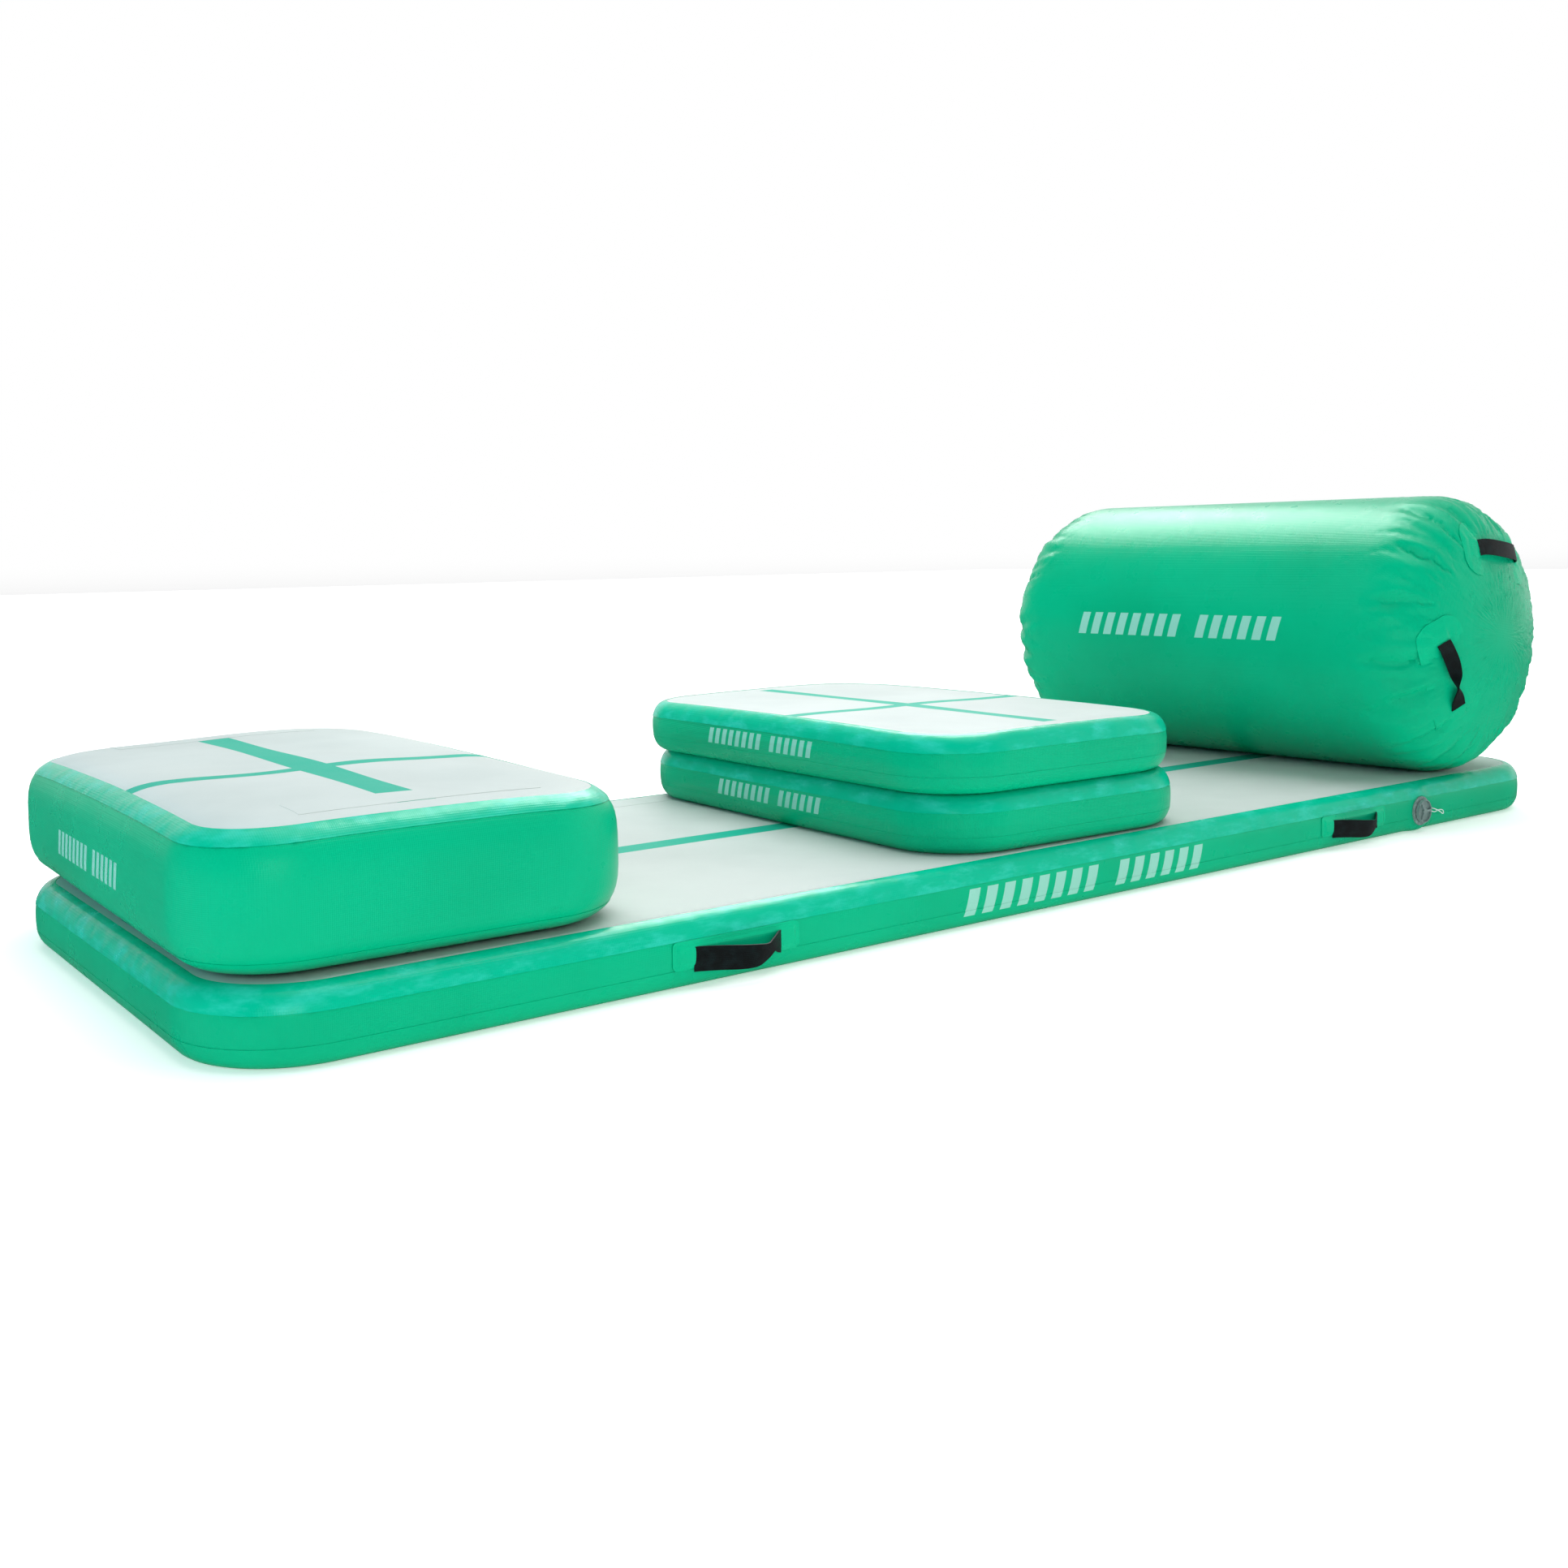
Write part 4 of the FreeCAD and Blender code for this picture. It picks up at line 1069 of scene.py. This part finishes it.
def make_inner_tape(word, heights, side):
    """The tape inside, just under the skin, across the seam."""
    rows = slice(seam_row - 2, seam_row + 4)
    grid = ring_points(FOLD_RUNS[rows], heights[rows] - INNER_DEPTH, side)
    grid = grid[:, ::-1] if side < 0 else grid
    tape = sheet_mesh("roll_%s_inner_tape" % word, roll_world(grid), grid, node_paint["inner_tape"],
                      thick=INNER_THICK)
    settle_on(tape, "roll", "roll_seam_tapes")


roll_tube = make_tube()
roll_discs = {"near": make_disc("near", near_heights, -1), "far": make_disc("far", far_heights, 1)}
make_inner_tape("near", near_heights, -1)
make_inner_tape("far", far_heights, 1)

# %% [markdown]
# ## Handle patches
# Each webbing handle is sewn to a green patch welded on the skin.  The patch is shaped
# flat and then dropped onto the skin along the handle's facing, so it takes every fold
# under it.  Two soft lumps show where the webbing's sewn ends lie underneath.

# %% a place for each handle
MAT_HANDLES = ["mat_front_left", "mat_front_right", "mat_back_left", "mat_back_right"]
ROLL_HANDLES = ["roll_near_high", "roll_near_low", "roll_far_high", "roll_far_low"]


def handle_frame(name):
    """A handle's middle, and its directions along, up and out of the skin."""
    hinge = joint(name + "_handle_swing")
    middle, along = Vector(hinge["pos_m"]), -Vector(hinge["axis"]).normalized()
    if name.startswith("mat"):
        out = Vector((0, math.copysign(1, middle.y), 0))
    else:
        side = -1 if "near" in name else 1
        out = (middle - (ROLL_MIDDLE + AXLE * (side * DOME_AT))).normalized()
    return middle, along, along.cross(-out), out


def skin_tree(*pieces):
    """A searchable copy of some skins."""
    points, faces = [], []
    for piece in pieces:
        base = len(points)
        points += [v.co.copy() for v in piece.data.vertices]
        faces += [[base + v for v in face.vertices] for face in piece.data.polygons]
    return BVHTree.FromPolygons(points, faces)


# %% the patches
PATCH_OUT, TAB_LUMP, PATCH_LIFT = 0.9 * MM, 2.3 * MM, 7 * MM
TAB_FROM, TAB_TO, TAB_HALF = 76 * MM, 100 * MM, 17.5 * MM
RAY_START, RAY_REACH = 0.08, 0.2
OUTLINE_POINTS, PATCH_RINGS = 56, 15


def rounded_outline(half_long, half_tall, corner, count):
    """Points round a rounded rectangle, crowded at its corners."""
    outline = []
    for x, y, start in ((1, 1, 0), (-1, 1, 90), (-1, -1, 180), (1, -1, 270)):
        for step in range(count // 4):
            angle = math.radians(start + 90 * step / (count // 4 - 1))
            outline.append((x * (half_long - corner) + corner * math.cos(angle),
                            y * (half_tall - corner) + corner * math.sin(angle)))
    return np.array(outline)


def tab_lump(x, y):
    """1 over a sewn end of the webbing, 0 elsewhere on the patch, with soft edges."""
    window = smooth(abs(x), TAB_FROM - 3 * MM, TAB_FROM + 3 * MM) * (
        1 - smooth(abs(x), TAB_TO - 3 * MM, TAB_TO + 5 * MM))
    return window * (1 - smooth(abs(y), TAB_HALF - 2 * MM, TAB_HALF + 5 * MM))


def make_patch(name, tree, half_long, half_tall, corner, lift, body, nodes):
    middle, along, up, out = handle_frame(name)
    outline = rounded_outline(half_long, half_tall, corner, OUTLINE_POINTS)
    # The core line keeps the inner rings of a long patch from crowding at one point.
    core = np.column_stack([np.clip(outline[:, 0], half_tall - half_long,
                                    half_long - half_tall), 0 * outline[:, 0]])
    shares = np.linspace(0, 1, PATCH_RINGS)[:, None, None]
    flat = core + (outline - core) * shares + (0, lift)
    grid = np.zeros((*flat.shape[:2], 3))
    for index in np.ndindex(flat.shape[:2]):
        x, y = flat[index]
        start = middle + along * x + up * y + out * RAY_START
        hit = tree.ray_cast(start, -out, RAY_REACH)[0]
        grid[index] = hit + out * (PATCH_OUT + TAB_LUMP * tab_lump(x, y))
    patch = sheet_mesh(name + "_patch", grid, grid - np.array(middle), patch_paint,
                       thick=PATCH_OUT, weld=WELD_REACH)
    settle_on(patch, body, *nodes)


mat_tree = skin_tree(walls["mat"])
roll_trees = {word: skin_tree(roll_tube, disc) for word, disc in roll_discs.items()}
for name in MAT_HANDLES:
    make_patch(name, mat_tree, 0.110, 0.020, 0.008, PATCH_LIFT, "mat",
               ("mat_handle_patches", "mat_strap_tabs"))
for name in ROLL_HANDLES:
    make_patch(name, roll_trees["near" if "near" in name else "far"], 0.125, 0.060, 0.040, 0.0,
               "roll", ("roll_handle_patches", "roll_strap_tabs"))

# %% [markdown]
# ## Webbing handles
# Each handle is 35 mm nylon webbing, longer than the gap between its sewn ends, so it
# stands off the skin and twists as it likes.  Its path is a few listed stations:
# along, out, up, width and twist.  The strap is baked in place and rides on no body.

# %% the straps
WEBBING_THICK, WEBBING_WIDTH, STATIONS, ACROSS = 2.2 * MM, 35 * MM, 56, 9
MAT_STRAP = [(-76, 2.6, 0, 35, 0), (-66, 6, 0, 35, 0), (-35, 15, -2, 35, 3), (-5, 22, -5, 35, 6),
             (20, 25, -6, 33, 10), (40, 22, -3, 24, 12), (54, 17, 3, 21, 4), (66, 10, 3, 30, 0),
             (76, 2.6, 1, 33, 0)]
HIGH_STRAP = [(-76, 2.6, 0, 35, 0), (-68, 12, 0, 35, 0), (-45, 20, -1, 35, 3), (0, 24, -2, 35, 6),
              (45, 20, 0, 35, 3), (66, 12, 2, 33, 0), (76, 2.6, 2, 32, 0)]
LOW_STRAP = [(-76, 2.6, 0, 37, 0), (-52, 9, 1, 33, 8), (-32, 15, 2, 18, 30), (-20, 18, 3, 10, 80),
             (-10, 19, 3, 14, 120), (8, 19, 2, 26, 160), (35, 16, 1, 33, 172),
             (64, 8, 0, 35, 180), (76, 2.6, 0, 35, 180)]


def through(rows, count):
    """Catmull-Rom: a smooth run of stations through the hand-read ones."""
    rows = np.array(rows, float)
    padded = np.vstack([2 * rows[0] - rows[1], rows, 2 * rows[-1] - rows[-2]])
    made = []
    for place in np.linspace(0, len(rows) - 1, count):
        k = min(int(place), len(rows) - 2)
        t = place - k
        a, b, c, d = padded[k:k + 4]
        made.append(0.5 * (2 * b + (c - a) * t + (2 * a - 5 * b + 4 * c - d) * t ** 2
                           + (3 * b - a - 3 * c + d) * t ** 3))
    return np.array(made)


def make_strap(name, rows):
    middle, along, up, out = handle_frame(name)
    stations = through(rows, STATIONS)
    spots = [middle + along * x * MM + out * o * MM + up * u * MM for x, o, u in stations[:, :3]]
    across = np.linspace(-0.5, 0.5, ACROSS)
    grid, chart = np.zeros((ACROSS, STATIONS, 3)), np.zeros((ACROSS, STATIONS, 3))
    travel = 0.0
    for column, spot in enumerate(spots):
        ahead = (spots[min(column + 1, STATIONS - 1)] - spots[max(column - 1, 0)]).normalized()
        level = (up - ahead * up.dot(ahead)).normalized()
        width, twist = stations[column, 3] * MM, math.radians(stations[column, 4])
        lie = level * math.cos(twist) + ahead.cross(level) * math.sin(twist)
        travel += (spot - spots[max(column - 1, 0)]).length
        for row, share in enumerate(across):
            grid[row, column] = spot + lie * (share * width)
            chart[row, column] = (travel, share * WEBBING_WIDTH, 0)
    strap = sheet_mesh(name + "_webbing", grid, chart, webbing_paint, thick=WEBBING_THICK,
                       closed=False)
    tuple(middle + out * (2 * MM))
    tuple(middle + out * (18 * MM))
    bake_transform(strap)
    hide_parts(name + "_strap")
    print(name, "webbing", round(travel / MM), "mm long")


for name in MAT_HANDLES:
    make_strap(name, MAT_STRAP)
for name in ROLL_HANDLES:
    make_strap(name, HIGH_STRAP if "high" in name else LOW_STRAP)

# %% [markdown]
# ## A plain floor and soft light
# The set stands on a pale, brightly lit sweep.  The sky is bright overhead, dimmer half
# way up and white at the horizon.  That gives the roll its pale crown and darker belly.
# A cool soft light on the left turns the walls on that side towards teal, and a small
# strong one makes the glints on the folds.

# %% studio
FLOOR_REACH, FLOOR_DROP = 30.0, 0.5 * MM
COOL = (0.35, 0.8, 1.0, 1.0)


def studio_floor():
    mesh = bpy.data.meshes.new("studio_floor")
    mesh.from_pydata([(x * FLOOR_REACH, y * FLOOR_REACH, 0) for x, y in
                      ((-1, -1), (1, -1), (1, 1), (-1, 1))], [], [(0, 1, 2, 3)])
    floor = new_piece("studio_floor", mesh)
    floor.location.z = -FLOOR_DROP
    floor.visible_glossy = False
    paint = Paint("studio_floor")
    tone = paint.noise(paint.place(), 0.6)
    colour = paint.mix(tone, (0.93, 0.93, 0.93, 1), (0.95, 0.95, 0.95, 1))
    floor.data.materials.append(paint.finish(
        Base_Color=colour, Roughness=0.9, Emission_Color=colour, Emission_Strength=0.4))


def soft_light(name, spot, target, size, glow, colour=(1, 1, 1), gloss=True, wash=True):
    """A soft box; glow is its brightness, and it may light only the gloss or only the rest."""
    lamp = bpy.data.lights.new(name, "AREA")
    lamp.shape, lamp.size, lamp.size_y = "RECTANGLE", size[0], size[1]
    lamp.energy, lamp.color = glow * math.pi * size[0] * size[1], colour
    holder = new_piece(name, lamp)
    holder.location = spot
    holder.visible_glossy, holder.visible_diffuse = gloss, wash
    holder.rotation_euler = (Vector(target) - Vector(spot)).to_track_quat("-Z", "Y").to_euler()


def studio_world():
    world = bpy.data.worlds.new("studio")
    bpy.context.scene.world = world
    world.use_nodes = True
    sky = Graph(world.node_tree)
    east, north, height = sky.add("ShaderNodeTexCoord", {}, {}, out=0).parts()
    ahead = east * math.cos(HEADING) + north * math.sin(HEADING)
    aside = (-ahead).soft_step(0.0, 0.6).either((-east).soft_step(-0.1, 0.35))
    level = (1.0 - height.soft_step(0.45, 0.7) * 0.5 + height.soft_step(0.75, 0.9) * 2.9
             - (-height).soft_step(0.0, 0.1) * 0.85)
    background = world.node_tree.nodes["Background"]
    sky.plug(background, "Strength", level * (1 - aside * 0.85))
    sky.plug(background, "Color", sky.mix((-east).soft_step(0.2, 0.9), (1, 1, 1, 1), COOL))


studio_floor()
studio_world()
soft_light("overhead_gloss", (2.1, 1.7, 4.0), (1.2, -0.4, 0.3), (2.4, 4.6), 9, wash=False)
soft_light("corner_gloss", (-2.9, -3.6, 1.0), (-1.0, -0.4, 0.2), (0.7, 0.5), 14, wash=False)
soft_light("roll_fill", (-0.6, 0.6, 1.7), (1.17, 0, 0.4), (1.2, 1.2), 2.6, gloss=False)
soft_light("front_fill", (-3.0, -4.4, 2.0), (0.3, 0, 0.2), (5.0, 2.0), 2.3, gloss=False)
soft_light("left_fill", (-4.8, 0.4, 1.4), (0.0, 0, 0.3), (3.0, 2.0), 2.6, COOL[:3], gloss=False)
bpy.context.scene.view_settings.view_transform = "Standard"
